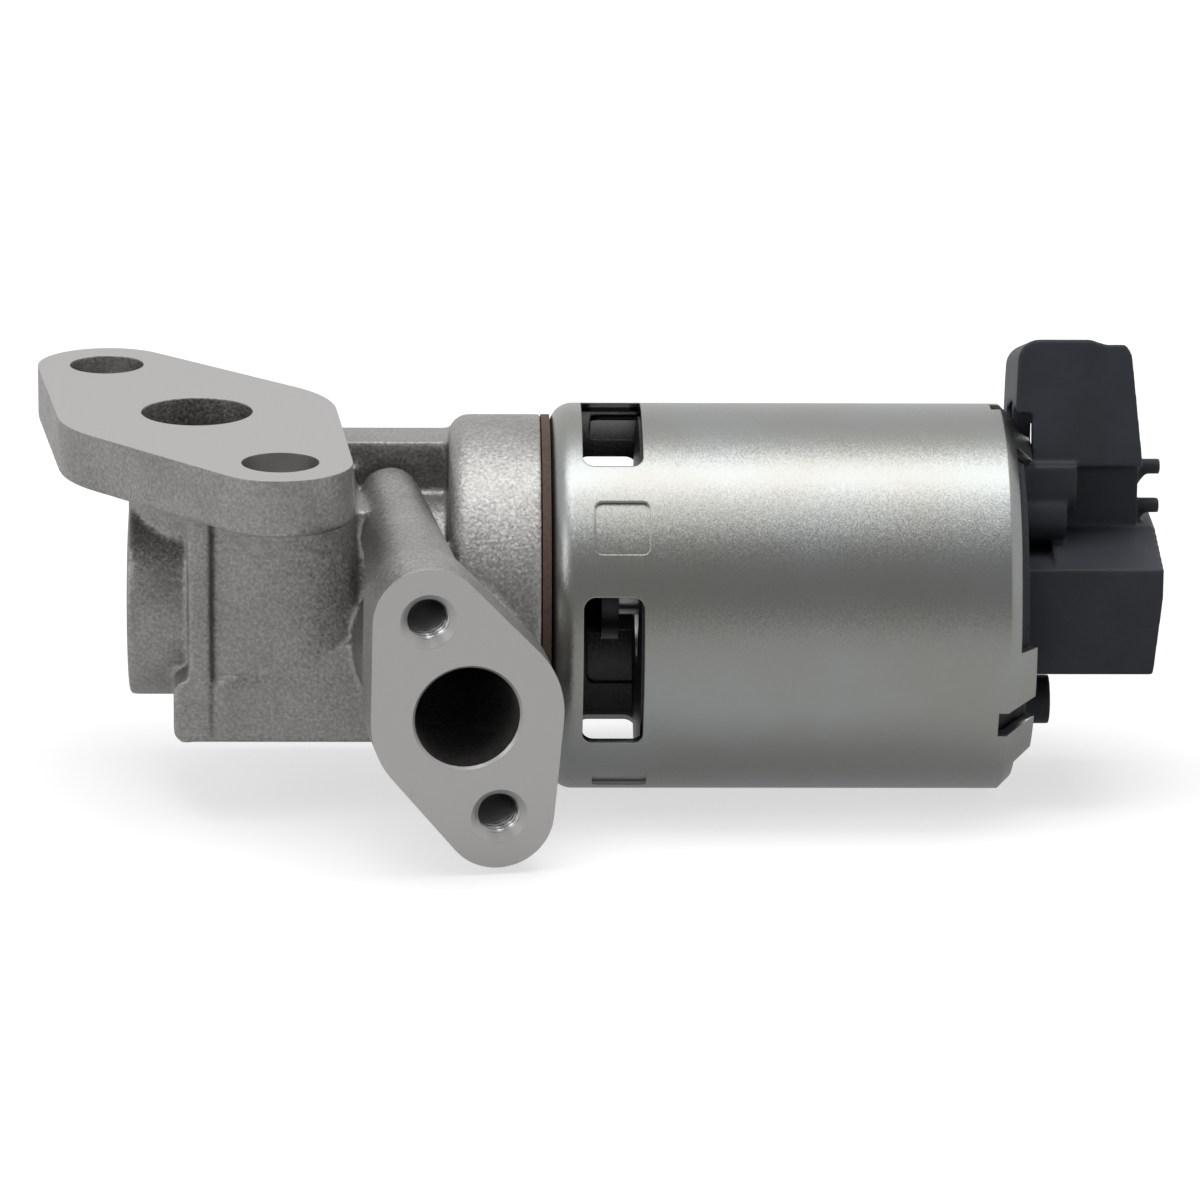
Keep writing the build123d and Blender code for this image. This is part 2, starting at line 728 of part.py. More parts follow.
def connector_terminals():
    """A row of flat pins in the socket."""
    plane = connector_plane()
    pins = []
    for i in range(terminal_count):
        across = (i - (terminal_count - 1) / 2) * terminal_pitch
        pin = Pos(across, 0, terminal_root - connector_floor) * extrude(
            Rectangle(terminal_width, terminal_width), -terminal_root - terminal_length)
        pins.append(plane * pin)
    return Compound(pins)


def sensor_box():
    """The housing round the position sensor, with draft on its end face."""
    start = cap_shoulder_x
    end = sensor_box_x
    top = sensor_box_top + sensor_box_slope
    side = [(-sensor_box_front, -sensor_box_floor), (-sensor_box_front, sensor_box_top),
            (-neck_front, top), (sensor_box_back, top), (sensor_box_back, -sensor_box_floor)]
    plane = Plane(origin=(start, 0, -axis_drop), x_dir=(0, 1, 0), z_dir=(1, 0, 0))
    box = prism(plane, side, end - start)
    under = Plane(origin=(0, -sensor_box_front, -axis_drop), x_dir=(1, 0, 0), z_dir=(0, -1, 0))
    wedge = [(end, sensor_box_draft_from), (end - sensor_box_draft, -sensor_box_floor),
             (end, -sensor_box_floor)]
    box -= prism(under, wedge, -sensor_box_front - sensor_box_back)
    slope_x = crimp_x + sensor_box_slope_start
    return box - block(start, slope_x, -sensor_box_front, -neck_front, sensor_box_top, top)


def crimp_space(length):
    """Room in the cap for the can's turned-in wall."""
    reach = length + pocket_clearance
    drop = can_wall * math.sqrt(2) + fit_gap
    above = can_radius + pocket_clearance
    return [(crimp_x, can_radius - drop), (crimp_x, above), (crimp_x + reach, above),
            (crimp_x + reach, can_radius - drop - reach)]


def sensor_cap():
    """The black moulding: round base, sensor housing, neck and connector."""
    solid = turned(cap_profile())
    solid += sensor_box()
    under = connector_top - connector_height
    solid += block(cap_shoulder_x, crimp_x + neck_length, -neck_front, neck_back, 0, under + neck_front)
    solid += connector_shell()
    base = cap_shoulder_x
    for forward, up, reach in (post_lower, post_upper):
        solid += rod(base, crimp_x + reach, post_radius, -forward, up)
    forward, up, reach = post_upper
    solid += block(base, crimp_x + reach, -forward - post_radius, 0, up, up + post_radius)
    solid += rod(base, crimp_x + foot_reach, foot_radius, 0, -foot_drop)
    neck_end = crimp_x + neck_length
    for back, up in (peg_upper, peg_lower):
        solid += rod(neck_end, neck_end + peg_reach, peg_radius, back - neck_front, up)
        corner = (neck_end, back - neck_front + gusset_thickness / 2, up - axis_drop)
        gusset = Plane(origin=corner, x_dir=(1, 0, 0), z_dir=(0, -1, 0))
        solid += prism(gusset, [(0, 0), (gusset_reach, 0), (0, -gusset_drop)], gusset_thickness)
    solid -= turned(crimp_space(crimp_rim))
    step = 360 / crimp_groups
    margin = math.degrees(pocket_clearance / cap_disc_radius)
    for group in range(crimp_groups):
        for start, end in (crimp_first_tab, crimp_second_tab):
            solid -= sector(crimp_space(crimp_tab), start - margin + group * step, end + margin + group * step)
    solid -= block(cap_x, bay_end, -sensor_bay_width / 2, sensor_bay_width / 2, -bay_floor, bay_floor)
    solid -= connector_cavity()
    for place in pin_places():
        solid -= rod(cap_x, cap_x + seal_section, coil_pin_radius, *place)
    for pin in connector_terminals().solids():
        solid -= pin
    return solid


def sensor_plunger():
    """The rod that carries the stem's travel to the sensor."""
    return rod(stem_end + plunger_gap, carrier_x + carrier_grip, plunger_radius)


def wiper_carrier():
    """The slider that holds the wipers."""
    body = block(carrier_x, carrier_x + carrier_length, -carrier_width / 2, carrier_width / 2,
                 -carrier_floor, carrier_top)
    return body - rod(carrier_x, carrier_x + carrier_grip, plunger_radius)


def wiper_contacts():
    """Two sprung fingers that press on the resistance tracks."""
    top = -carrier_floor
    low = -bay_floor + track_thickness + film_thickness + wiper_gap
    fingers = []
    for side in (-1, 1):
        y0 = side * wiper_spread - wiper_width / 2
        bend_x = carrier_x + carrier_length / 2
        foot = block(carrier_x, bend_x, y0, y0 + wiper_width, top - wiper_thickness, top)
        start = bend_x - wiper_thickness
        leg = block(start, start + wiper_thickness, y0, y0 + wiper_width, low, top)
        fingers.append(foot + leg)
    return Compound(fingers)


def sensor_track():
    """The ceramic strip with its two printed resistance films."""
    floor = -bay_floor
    start = cap_x + fit_gap
    half = track_width / 2
    strip = block(start, start + track_length, -half, half, floor, floor + track_thickness)
    for side in (-1, 1):
        y0 = side * wiper_spread - film_width / 2
        strip += block(start + film_margin, start + track_length - film_margin, y0, y0 + film_width,
                       floor + track_thickness, floor + track_thickness + film_thickness)
    return strip


def plunger_spring():
    """Keeps the plunger against the stem."""
    return coil_spring(carrier_x + carrier_length, bay_end, sensor_spring_radius, sensor_spring_wire,
                       sensor_spring_coils)


NODES = {
    "valve_body": valve_body,
    "end_plug": end_plug,
    "valve_seat": valve_seat,
    "valve_pintle": valve_pintle,
    "stem_guide": stem_guide,
    "guide_cap": guide_cap,
    "stem_shield": stem_shield,
    "body_gasket": body_gasket,
    "solenoid_can": solenoid_can,
    "can_screws": can_screws,
    "lower_pole_plate": lower_pole_plate,
    "upper_pole_plate": upper_pole_plate,
    "armature_sleeve": armature_sleeve,
    "armature": armature,
    "stem_nut": stem_nut,
    "pole_piece": pole_piece,
    "return_spring": return_spring,
    "coil_bobbin": coil_bobbin,
    "coil_winding": coil_winding,
    "coil_pins": coil_pins,
    "sensor_cap": sensor_cap,
    "cap_seal_ring": cap_seal_ring,
    "connector_terminals": connector_terminals,
    "sensor_plunger": sensor_plunger,
    "wiper_carrier": wiper_carrier,
    "wiper_contacts": wiper_contacts,
    "sensor_track": sensor_track,
    "plunger_spring": plunger_spring,
}

os.makedirs("parts", exist_ok=True)
for name, make in NODES.items():
    export_step(make(), f"parts/{name}.step")
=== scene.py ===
import json
import math

import bmesh
import bpy
from mathutils import Matrix, Vector


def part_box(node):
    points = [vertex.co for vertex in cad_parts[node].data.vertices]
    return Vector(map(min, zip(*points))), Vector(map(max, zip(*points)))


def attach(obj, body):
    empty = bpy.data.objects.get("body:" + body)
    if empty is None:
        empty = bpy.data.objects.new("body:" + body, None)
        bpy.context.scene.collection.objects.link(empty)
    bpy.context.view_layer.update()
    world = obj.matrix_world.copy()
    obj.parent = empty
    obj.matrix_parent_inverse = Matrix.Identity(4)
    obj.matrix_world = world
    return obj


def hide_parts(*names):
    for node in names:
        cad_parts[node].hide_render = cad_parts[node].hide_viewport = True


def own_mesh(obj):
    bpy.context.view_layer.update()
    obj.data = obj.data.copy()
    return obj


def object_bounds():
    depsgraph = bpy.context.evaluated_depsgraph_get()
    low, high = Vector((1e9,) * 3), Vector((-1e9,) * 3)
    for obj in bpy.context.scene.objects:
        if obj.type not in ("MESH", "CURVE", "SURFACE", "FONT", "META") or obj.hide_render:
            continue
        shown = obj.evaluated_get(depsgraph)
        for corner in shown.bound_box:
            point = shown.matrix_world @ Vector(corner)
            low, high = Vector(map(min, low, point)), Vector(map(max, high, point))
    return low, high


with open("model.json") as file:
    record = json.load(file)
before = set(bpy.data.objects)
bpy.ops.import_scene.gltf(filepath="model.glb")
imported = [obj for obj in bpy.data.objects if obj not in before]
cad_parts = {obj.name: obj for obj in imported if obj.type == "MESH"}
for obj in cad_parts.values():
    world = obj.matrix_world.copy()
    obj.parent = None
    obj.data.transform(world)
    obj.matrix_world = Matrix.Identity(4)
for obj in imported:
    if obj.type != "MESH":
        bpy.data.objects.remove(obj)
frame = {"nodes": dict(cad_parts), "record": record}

bl_info = {
    "name": "EGR Valve",
    "version": (1, 0, 0),
    "blender": (4, 5, 0),
    "location": "View3D > Sidebar > EGR Valve",
    "description": "Dresses an exhaust gas recirculation valve and sets its studio",
    "category": "Object",
}

MM = 0.001
WELD = 0.002 * MM
SLACK = 0.01 * MM
WHITE = (1, 1, 1, 1)

# The frame: the whole object's box, the pieces' boxes and the mounts
CAD_LOW, CAD_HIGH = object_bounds()
CAN_LOW, CAN_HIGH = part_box("solenoid_can")
COLLAR_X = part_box("valve_body")[1].x
AXIS_Z = (CAN_LOW.z + CAN_HIGH.z) / 2
CAN_RADIUS = (CAN_HIGH.z - CAN_LOW.z) / 2
MOUNTS = {mount["name"]: mount for mount in frame["record"]["mounts"]}
TAPPED_HOLES = ("front_thread_upper", "front_thread_lower")
UP = Vector((0, 0, 1))
RIGHT = Vector((1, 0, 0))

# The casting's cutters, and how far its machined places reach
MILL_REACH = 60 * MM
MILL_THICKNESS = 4 * MM
DRILL_DEPTH = 9 * MM
PORT_DEPTH = 14 * MM
HOLE_MARGIN = 0.1 * MM
TAP_REACH = 18 * MM
PORT_EDGE = 0.6 * MM
PORT_EDGE_DEPTH = 0.8 * MM
COUNTERSINK_SLOPE = 1.1 / 0.9
THREAD_STEEPNESS = 1.15

# The Mix node's sockets, two inputs and an output, for colours and for directions
MIX_COLOURS = (6, 7, 2)
MIX_DIRECTIONS = (4, 5, 1)

# The rays that each rounded edge is worked out with
EDGE_SAMPLES = 6

# The floor and its drop under the object; its whiteness fades from near to far, counted in millimetres
FLOOR_HALF = 3.0
FLOOR_DROP = 0.2 * MM
FLOOR_FADE = (150, 600)

# How the mirrored room fades at its sides and towards the camera, on directions of length 1
SIDE_FADE = (0.3, 0.8)
FRONT_FADE = (-0.7, 0.3)

# The lamps: a name, the setting with its power, its place from the object's middle and its size, in metres
LAMPS = (
    ("top_softbox", "top_power", (0, 0.02, 0.8), (1.0, 0.42)),
    ("left_softbox", "left_power", (-0.66, -0.42, 0.44), (0.34, 0.34)),
    ("front_softbox", "front_power", (-0.1, -0.33, 0.73), (0.4, 0.3)),
)

# The camera's film is this wide in millimetres, and it sees nothing nearer than this in metres
SENSOR_WIDTH = 36
NEAREST_SEEN = 0.05


def mount_place(name):
    """The point and the direction of a mount."""
    return Vector(MOUNTS[name]["pos_m"]), Vector(MOUNTS[name]["axis"]).normalized()


def mount_size(name, key):
    """A size of a mount in metres."""
    return MOUNTS[name]["dims"][key] * MM


def linear(hex_code):
    """An sRGB hex colour as linear red, green and blue, by the standard's own curve."""
    parts = [int(hex_code[i:i + 2], 16) / 255 for i in (0, 2, 4)]
    return tuple(c / 12.92 if c <= 0.04045 else ((c + 0.055) / 1.055) ** 2.4 for c in parts)


def colour(label, note, hex_code):
    """A colour setting."""
    return bpy.props.FloatVectorProperty(
        name=label, description=note, subtype="COLOR", size=3, min=0, max=1, default=linear(hex_code))


def length(label, note, millimetres):
    """A length setting, kept in metres."""
    return bpy.props.FloatProperty(
        name=label, description=note, subtype="DISTANCE", unit="LENGTH", min=0, default=millimetres * MM)


def coordinate(label, note, millimetres):
    """A coordinate setting, kept in metres, that may be negative."""
    return bpy.props.FloatProperty(
        name=label, description=note, subtype="DISTANCE", unit="LENGTH", default=millimetres * MM)


def count(label, note, number):
    """A whole number of like things."""
    return bpy.props.IntProperty(name=label, description=note, min=1, default=number)


def fraction(label, note, number):
    """A share between nothing and all."""
    return bpy.props.FloatProperty(
        name=label, description=note, subtype="FACTOR", min=0, max=1, default=number)


def level(label, note, number):
    """A level of light, where 1 is white."""
    return bpy.props.FloatProperty(name=label, description=note, min=0, default=number)


def power(label, note, watts):
    """A lamp's power in watts."""
    return bpy.props.FloatProperty(name=label, description=note, unit="POWER", min=0, default=watts)


def angle(label, note, degrees):
    """An angle setting, kept in radians."""
    return bpy.props.FloatProperty(
        name=label, description=note, subtype="ANGLE", default=math.radians(degrees))


class CastingSettings(bpy.types.PropertyGroup):
    """Sizes and colours of the cast body."""
    voxel: length("Voxel", "Edge of the cubes that the blank is remeshed with", 0.42)
    allowance: length("Allowance", "Metal left on a face before it is machined", 1.0)
    smoothing: count("Smoothing", "Passes that round the cast edges", 5)
    share: fraction("Share of faces", "Faces kept after the blank is thinned", 0.42)
    pitch: length("Thread pitch", "Pitch of the two tapped holes", 1.0)
    thread_depth: length("Thread depth", "Depth of the thread outside the tapping drill", 0.5)
    countersink: length("Countersink", "Radius of the countersinks at the face", 3.6)
    block_front: coordinate("Block front", "Y of the block's front face", -18.0)
    rib_edge: coordinate("Rib edge", "X of the upright rib's right edge", 1.9)
    groove_width: length("Groove width", "Width of the step beside the rib", 1.5)
    groove_depth: length("Groove depth", "Depth of the step beside the rib", 0.9)
    groove_floor: coordinate("Groove floor", "Lower end of the step over the axis", -14.3)
    groove_top: coordinate("Groove top", "Upper end of the step over the axis", 12.0)
    cast: colour("Cast skin", "Shot-blasted aluminium", "969593")
    cast_dark: colour("Cast skin, darker", "Shade of the skin in patches", "8c8b89")
    machined: colour("Machined faces", "Milled aluminium", "acabaa")


class CanSettings(bpy.types.PropertyGroup):
    """Sizes and colours of the steel can."""
    wall: length("Wall", "Thickness of the can's wall", 1.2)
    dimple: length("Dimple", "Depth of the pressed dimples", 0.5)
    # Where the painted shade inside the can stops, at its closed end and at its mouth
    bright_end: length("Bright end", "Length at the closed end whose outside is plated", 2.6)
    bright_mouth: length("Bright mouth", "Length at the mouth whose inside is plated", 5.0)
    plating: colour("Plating", "Satin zinc on steel", "8e9190")
    # Painted shade: this dark colour is laid over the inside of the can, not a finish of its own
    inside: colour("Inside", "Oiled steel inside the can", "2b2b2c")
    plating_warm: colour("Plating, warmer", "Shade of the zinc in patches", "8b8b87")


class CapSettings(bpy.types.PropertyGroup):
    """Sizes and colours of the black moulding, and the colour of its pins."""
    voxel: length("Voxel", "Edge of the cubes that the moulding is remeshed with", 0.3)
    smoothing: count("Smoothing", "Passes that round the edges", 3)
    share: fraction("Share of faces", "Faces kept after thinning", 0.7)
    plastic: colour("Plastic", "Black glass-filled moulding", "33363b")
    plastic_light: colour("Plastic, lighter", "Flow marks in the moulding", "383b41")
    tin: colour("Tin", "Tinned brass of the pins", "c9c4b4")


class InsideSettings(bpy.types.PropertyGroup):
    """Sizes and colours of the pieces inside."""
    spring_wire: length("Spring wire", "Wire of the return spring", 1.0)
    spring_turns: count("Spring turns", "Turns of the return spring", 5)
    small_wire: length("Small spring wire", "Wire of the plunger's spring", 0.5)
    small_turns: count("Small spring turns", "Turns of the plunger's spring", 5)
    winding_wire: length("Winding wire", "Enamelled wire of the coil", 0.9)
    winding_hub: length("Winding hub", "Radius that the wire is wound on", 10.15)
    lift: length("Lift", "Travel of the poppet", 5.0)
    pins: count("Pins", "Pins in the plug socket", 5)
    pin_width: length("Pin width", "Side of a square pin", 0.8)
    pin_length: length("Pin length", "Length of a pin with its root", 9.0)
    pin_tip: fraction("Pin tip", "Width at the tip over the pin's width", 0.45)
    plug: colour("End plug", "Dull zinc on the pressed plug", "8b8b88")
    steel: colour("Turned steel", "Hard steel of the seat and the poppet", "9a9a9b")
    # Painted shade: the iron is coloured darker than bare iron, to stand for the shade inside the can
    iron: colour("Iron", "Turned soft iron of the magnet circuit", "3e3e40")
    # The oiled bush is dark, and is painted darker still as the shade inside the can
    bush: colour("Bush", "Oiled sintered bush", "2d2b28")
    copper: colour("Copper", "Enamelled copper wire", "a5552e")
    gasket: colour("Gasket", "Pressed fibre", "57443d")
    rubber: colour("Rubber", "Seal ring", "151515")
    white_plastic: colour("Slider", "Natural moulding of the sensor's slider", "d6d3c8")
    ceramic: colour("Ceramic", "Sensor strip", "dedcd6")


class StageSettings(bpy.types.PropertyGroup):
    """Camera, floor and lamps."""
    target: bpy.props.FloatVectorProperty(
        name="Camera target", description="The point that the camera looks at", subtype="TRANSLATION",
        unit="LENGTH", size=3, default=(52.1 * MM, -0.2 * MM, -25.1 * MM))
    distance: length("Camera distance", "Camera to the point it looks at", 900)
    azimuth: angle("Azimuth", "Camera's turn from the front", -1.5)
    elevation: angle("Elevation", "Camera's height angle", 16)
    roll: angle("Roll", "Camera's turn about its own axis", 0.5)
    lens: bpy.props.FloatProperty(
        name="Lens", description="Focal length in millimetres", unit="CAMERA", default=207.9)
    floor: colour("Floor", "Pale floor", "b9b9b8")
    floor_white: level("Floor white", "White added to the floor where it is seen or mirrored", 0.62)
    floor_white_far: level("Floor white, far", "White added to the floor far from the object", 0.82)
    floor_mirrored: fraction("Floor mirrored", "Share of that white that reflections show", 0.6)
    front_room: level("Front room", "Level of the room behind the camera in reflections", 0.38)
    side_room: level("Side room", "Level added at the room's sides in reflections", 0.4)
    room: level("Room", "Level of the room's soft light", 0.32)
    top_power: power("Top lamp", "Power of the wide lamp overhead", 4.8)
    left_power: power("Left lamp", "Power of the lamp at the left", 0.9)
    front_power: power("Front lamp", "Power of the lamp over the camera's side", 0.9)


# Nodes and materials

def add(tree, kind, inputs=None, **settings):
    """Adds a node with its settings; each input gets a value or a link from a socket."""
    node = tree.nodes.new(kind)
    for name, value in settings.items():
        setattr(node, name, value)
    for name, value in (inputs or {}).items():
        if isinstance(value, bpy.types.NodeSocket):
            tree.links.new(value, node.inputs[name])
        else:
            node.inputs[name].default_value = value
    return node


def new_material(name):
    """An empty material, its tree and the object's coordinates in millimetres."""
    material = bpy.data.materials.new(name)
    material.use_nodes = True
    tree = material.node_tree
    tree.nodes.clear()
    place = add(tree, "ShaderNodeTexCoord").outputs["Object"]
    place = add(tree, "ShaderNodeVectorMath", {0: place, "Scale": 1 / MM}, operation="SCALE")
    return material, tree, place.outputs["Vector"]


def finish_material(tree, inputs):
    """Closes a material with its one shader."""
    shader = add(tree, "ShaderNodeBsdfPrincipled", inputs)
    add(tree, "ShaderNodeOutputMaterial", {"Surface": shader.outputs["BSDF"]})


def combine(tree, operation, *values):
    """Combines any number of sockets and numbers by one operation, from the left."""
    result = values[0]
    for value in values[1:]:
        result = add(tree, "ShaderNodeMath", {0: result, 1: value}, operation=operation).outputs["Value"]
    return result


def size_of(tree, value):
    """A number without its sign."""
    return add(tree, "ShaderNodeMath", {0: value}, operation="ABSOLUTE").outputs["Value"]


def fade(tree, value, limits, ends):
    """Carries a value from between two limits to between two ends, and stops there."""
    low, high = limits
    start, end = ends
    inputs = {"Value": value, "From Min": low, "From Max": high, "To Min": start, "To Max": end}
    return add(tree, "ShaderNodeMapRange", inputs).outputs["Result"]


def painted(tree, mask, under, over):
    """One colour laid over another by a mask; a colour is a socket or three numbers."""
    first, second, result = MIX_COLOURS
    inputs = {"Factor": mask}
    for slot, shade in ((first, under), (second, over)):
        inputs[slot] = shade if isinstance(shade, bpy.types.NodeSocket) else (*shade, 1)
    return add(tree, "ShaderNodeMix", inputs, data_type="RGBA").outputs[result]


def darker(shade, factor):
    """A colour times a factor."""
    return tuple(factor * part for part in shade)


def clouds(tree, place, size, detail, limits, ends=(0, 1)):
    """Clouds of a size in millimetres; what lies between the limits is spread over the ends."""
    blots = add(tree, "ShaderNodeTexNoise", {"Vector": place, "Scale": 1 / size, "Detail": detail})
    return fade(tree, blots.outputs["Fac"], limits, ends)


def patchy(tree, place, first, second, size, detail=2, limits=(0.35, 0.65)):
    """Two shades in soft patches of a size in millimetres."""
    return painted(tree, clouds(tree, place, size, detail, limits), first, second)


def grains(tree, place, size, detail, depth, edge=None):
    """Grains of a size and a depth in millimetres, on edges rounded by a radius if one is given."""
    blots = add(tree, "ShaderNodeTexNoise", {"Vector": place, "Scale": 1 / size, "Detail": detail})
    inputs = {"Height": blots.outputs["Fac"], "Strength": 1.0, "Distance": depth * MM}
    if edge is not None:
        rounded = add(tree, "ShaderNodeBevel", {"Radius": edge * MM}, samples=EDGE_SAMPLES)
        inputs["Normal"] = rounded.outputs["Normal"]
    return add(tree, "ShaderNodeBump", inputs).outputs["Normal"]


def facets(tree, place, size, tilt, normal):
    """Tilts the surface cell by cell, as small crystal or blasted facets do."""
    cell = add(tree, "ShaderNodeTexVoronoi", {"Vector": place, "Scale": 1 / size}).outputs["Color"]
    middle = (0.5, 0.5, 0.5)
    spread = add(tree, "ShaderNodeVectorMath", {0: cell, 1: middle}, operation="SUBTRACT").outputs["Vector"]
    spread = add(tree, "ShaderNodeVectorMath", {0: spread, "Scale": tilt}, operation="SCALE")
    tilted = add(tree, "ShaderNodeVectorMath", {0: spread.outputs["Vector"], 1: normal}, operation="ADD")
    unit = add(tree, "ShaderNodeVectorMath", {0: tilted.outputs["Vector"]}, operation="NORMALIZE")
    return unit.outputs["Vector"]


def height_over(tree, place, point, axis):
    """The surface's height over a plane, in millimetres, and the offset that it is measured on."""
    offset = add(tree, "ShaderNodeVectorMath", {0: place, 1: point / MM}, operation="SUBTRACT")
    offset = offset.outputs["Vector"]
    height = add(tree, "ShaderNodeVectorMath", {0: offset, 1: axis}, operation="DOT_PRODUCT")
    return height.outputs["Value"], offset


def on_plane(tree, place, point, axis, slack=0.03):
    """1 within a slack in millimetres of a machined plane, 0 off it."""
    height, _ = height_over(tree, place, point, axis)
    return combine(tree, "LESS_THAN", size_of(tree, height), slack)


def in_bore(tree, place, point, axis, radius, depth):
    """1 in a round hole of a radius and a depth in metres, 0 outside it."""
    height, offset = height_over(tree, place, point, axis)
    across = add(tree, "ShaderNodeVectorMath", {0: offset, 1: axis}, operation="CROSS_PRODUCT")
    across = add(tree, "ShaderNodeVectorMath", {0: across.outputs["Vector"]}, operation="LENGTH")
    inside = combine(tree, "LESS_THAN", across.outputs["Value"], radius / MM)
    above = combine(tree, "GREATER_THAN", height, -depth / MM)
    return combine(tree, "MULTIPLY", inside, above)


def machined_places(tree, place, settings):
    """1 on the casting's machined faces and holes, and 1 on its threads."""
    masks = [on_plane(tree, place, *mount_place(name)) for name in ("top_port", "front_flange_face")]
    bolt = mount_size("top_bolts", "hole_r_mm") + HOLE_MARGIN
    masks.append(in_bore(tree, place, *near_bolt_hole(), bolt, DRILL_DEPTH))
    threads = []
    under_face = -0.02
    for name in TAPPED_HOLES:
        hole = in_bore(tree, place, *mount_place(name), settings.countersink + HOLE_MARGIN, TAP_REACH)
        height, _ = height_over(tree, place, *mount_place(name))
        masks.append(hole)
        threads.append(combine(tree, "MULTIPLY", hole, combine(tree, "LESS_THAN", height, under_face)))
    port = mount_size("front_port", "r_mm") + PORT_EDGE
    masks.append(in_bore(tree, place, *mount_place("front_port"), port, PORT_EDGE_DEPTH))
    return combine(tree, "MAXIMUM", *masks), combine(tree, "MAXIMUM", *threads)


def cast_aluminium(settings):
    """Shot-blasted die casting: dull grey skin with bright grains; its milled faces are pale and even."""
    material, tree, place = new_material("cast_aluminium")
    machined, threads = machined_places(tree, place, settings)
    skin = patchy(tree, place, settings.cast_dark, settings.cast, size=9, detail=3)
    grit = clouds(tree, place, size=0.42, detail=2, limits=(0.35, 0.7), ends=(0.84, 1.22))
    skin = add(tree, "ShaderNodeVectorMath", {0: skin, "Scale": grit}, operation="SCALE").outputs["Vector"]
    pits = (0.25, 0.25, 0.25)
    solid = clouds(tree, place, size=0.7, detail=1, limits=(0.2, 0.28), ends=(0.6, 1))
    milled = painted(tree, solid, pits, settings.machined)
    thread_shade = (0.5, 0.5, 0.5)
    skin = painted(tree, threads, painted(tree, machined, skin, milled), thread_shade)
    blasted = grains(tree, place, size=0.5, detail=2, depth=0.06, edge=0.35)
    blasted = facets(tree, place, size=0.3, tilt=0.17, normal=blasted)
    milling = grains(tree, place, size=0.3, detail=1, depth=0.003, edge=0.12)
    first, second, result = MIX_DIRECTIONS
    inputs = {"Factor": machined, first: blasted, second: milling}
    normal = add(tree, "ShaderNodeMix", inputs, data_type="VECTOR").outputs[result]
    cast_rough, milled_rough, thread_gloss = 0.5, 0.42, 0.2
    roughness = fade(tree, machined, (0, 1), (cast_rough, milled_rough))
    roughness = combine(tree, "SUBTRACT", roughness, combine(tree, "MULTIPLY", threads, thread_gloss))
    finish_material(tree, {"Base Color": skin, "Roughness": roughness, "Normal": normal, "Metallic": 1.0})
    return material


def zinc_plating(settings):
    """Satin zinc on drawn steel: soft bands of light with a fine sparkle, and painted shade darkening the
    inside of the can.
    """
    material, tree, place = new_material("zinc_plated_steel")
    skin = patchy(tree, place, settings.plating, settings.plating_warm, size=14)
    middle = Vector(((CAN_LOW.x + CAN_HIGH.x) / 2, 0, AXIS_Z))
    half = (CAN_HIGH.x - CAN_LOW.x) / 2
    # Painted shade: the inside of the can, short of its closed end and of its mouth, is painted dark to stand
    # for the shade in it
    inside = in_bore(tree, place, middle, RIGHT, CAN_RADIUS - settings.wall / 2, half - settings.bright_end)
    height, _ = height_over(tree, place, middle, RIGHT)
    short_of_mouth = combine(tree, "LESS_THAN", height, (half - settings.bright_mouth) / MM)
    skin = painted(tree, combine(tree, "MULTIPLY", inside, short_of_mouth), skin, settings.inside)
    edges = add(tree, "ShaderNodeBevel", {"Radius": 0.25 * MM}, samples=EDGE_SAMPLES).outputs["Normal"]
    sparkle = facets(tree, place, size=0.14, tilt=0.1, normal=edges)
    finish_material(tree, {"Base Color": skin, "Normal": sparkle, "Metallic": 1.0, "Roughness": 0.34})
    return material


def black_moulding(settings):
    """Glass-filled black polyester: matt, with a fine spark-eroded texture."""
    material, tree, place = new_material("black_plastic")
    skin = patchy(tree, place, settings.plastic, settings.plastic_light, size=6)
    texture = grains(tree, place, size=0.22, detail=2, depth=0.02)
    finish_material(tree, {
        "Base Color": skin, "Normal": texture, "Roughness": 0.5, "Specular IOR Level": 0.15})
    return material


def turned_metal(name, shade, roughness, size=0.2):
    """Turned or drawn metal: bright, with fine marks about the valve's axis."""
    material, tree, place = new_material(name)
    along_marks = 0.1
    stretch = (1 / size, along_marks, along_marks)
    marks = add(tree, "ShaderNodeMapping", {"Vector": place, "Scale": stretch}).outputs["Vector"]
    lines = grains(tree, marks, size=1, detail=1, depth=0.006)
    skin = patchy(tree, place, darker(shade, 0.85), shade, size=4, limits=(0.3, 0.7))
    finish_material(tree, {"Base Color": skin, "Normal": lines, "Metallic": 1.0, "Roughness": roughness})
    return material


def dull_material(name, shade, size, depth, roughness):
    """Fibre, rubber, plastic or ceramic: dull and slightly rough, mottled at the size of its grain."""
    material, tree, place = new_material(name)
    skin = patchy(tree, place, darker(shade, 0.7), shade, size=size, detail=3, limits=(0.3, 0.7))
    grain = grains(tree, place, size=size / 2, detail=2, depth=depth)
    finish_material(tree, {"Base Color": skin, "Normal": grain, "Roughness": roughness})
    return material


# Meshes

def new_piece(name, mesh):
    """An object for a mesh, linked into the scene."""
    piece = bpy.data.objects.new(name, mesh)
    bpy.context.scene.collection.objects.link(piece)
    return piece


def merged_copy(node, name):
    """A copy of a CAD node with its loose triangles merged."""
    mesh = frame["nodes"][node].data.copy()
    mesh.name = name
    mesh.materials.clear()
    form = bmesh.new()
    form.from_mesh(mesh)
    bmesh.ops.remove_doubles(form, verts=form.verts, dist=WELD)
    form.to_mesh(mesh)
    form.free()
    return new_piece(name, mesh)


def smooth_faces(mesh, crease=32):
    """Smooth shading with sharp edges where faces meet at more than a crease angle in degrees."""
    mesh.polygons.foreach_set("use_smooth", [True] * len(mesh.polygons))
    mesh.set_sharp_from_angle(angle=math.radians(crease))


def flat_faces_first(piece, crease=32):
    """Smooth shading that leaves large flat faces flat and takes the turn at the small ones."""
    smooth_faces(piece.data, crease)
    weigh = piece.modifiers.new("weigh", "WEIGHTED_NORMAL")
    weigh.keep_sharp = True
    freeze(piece)


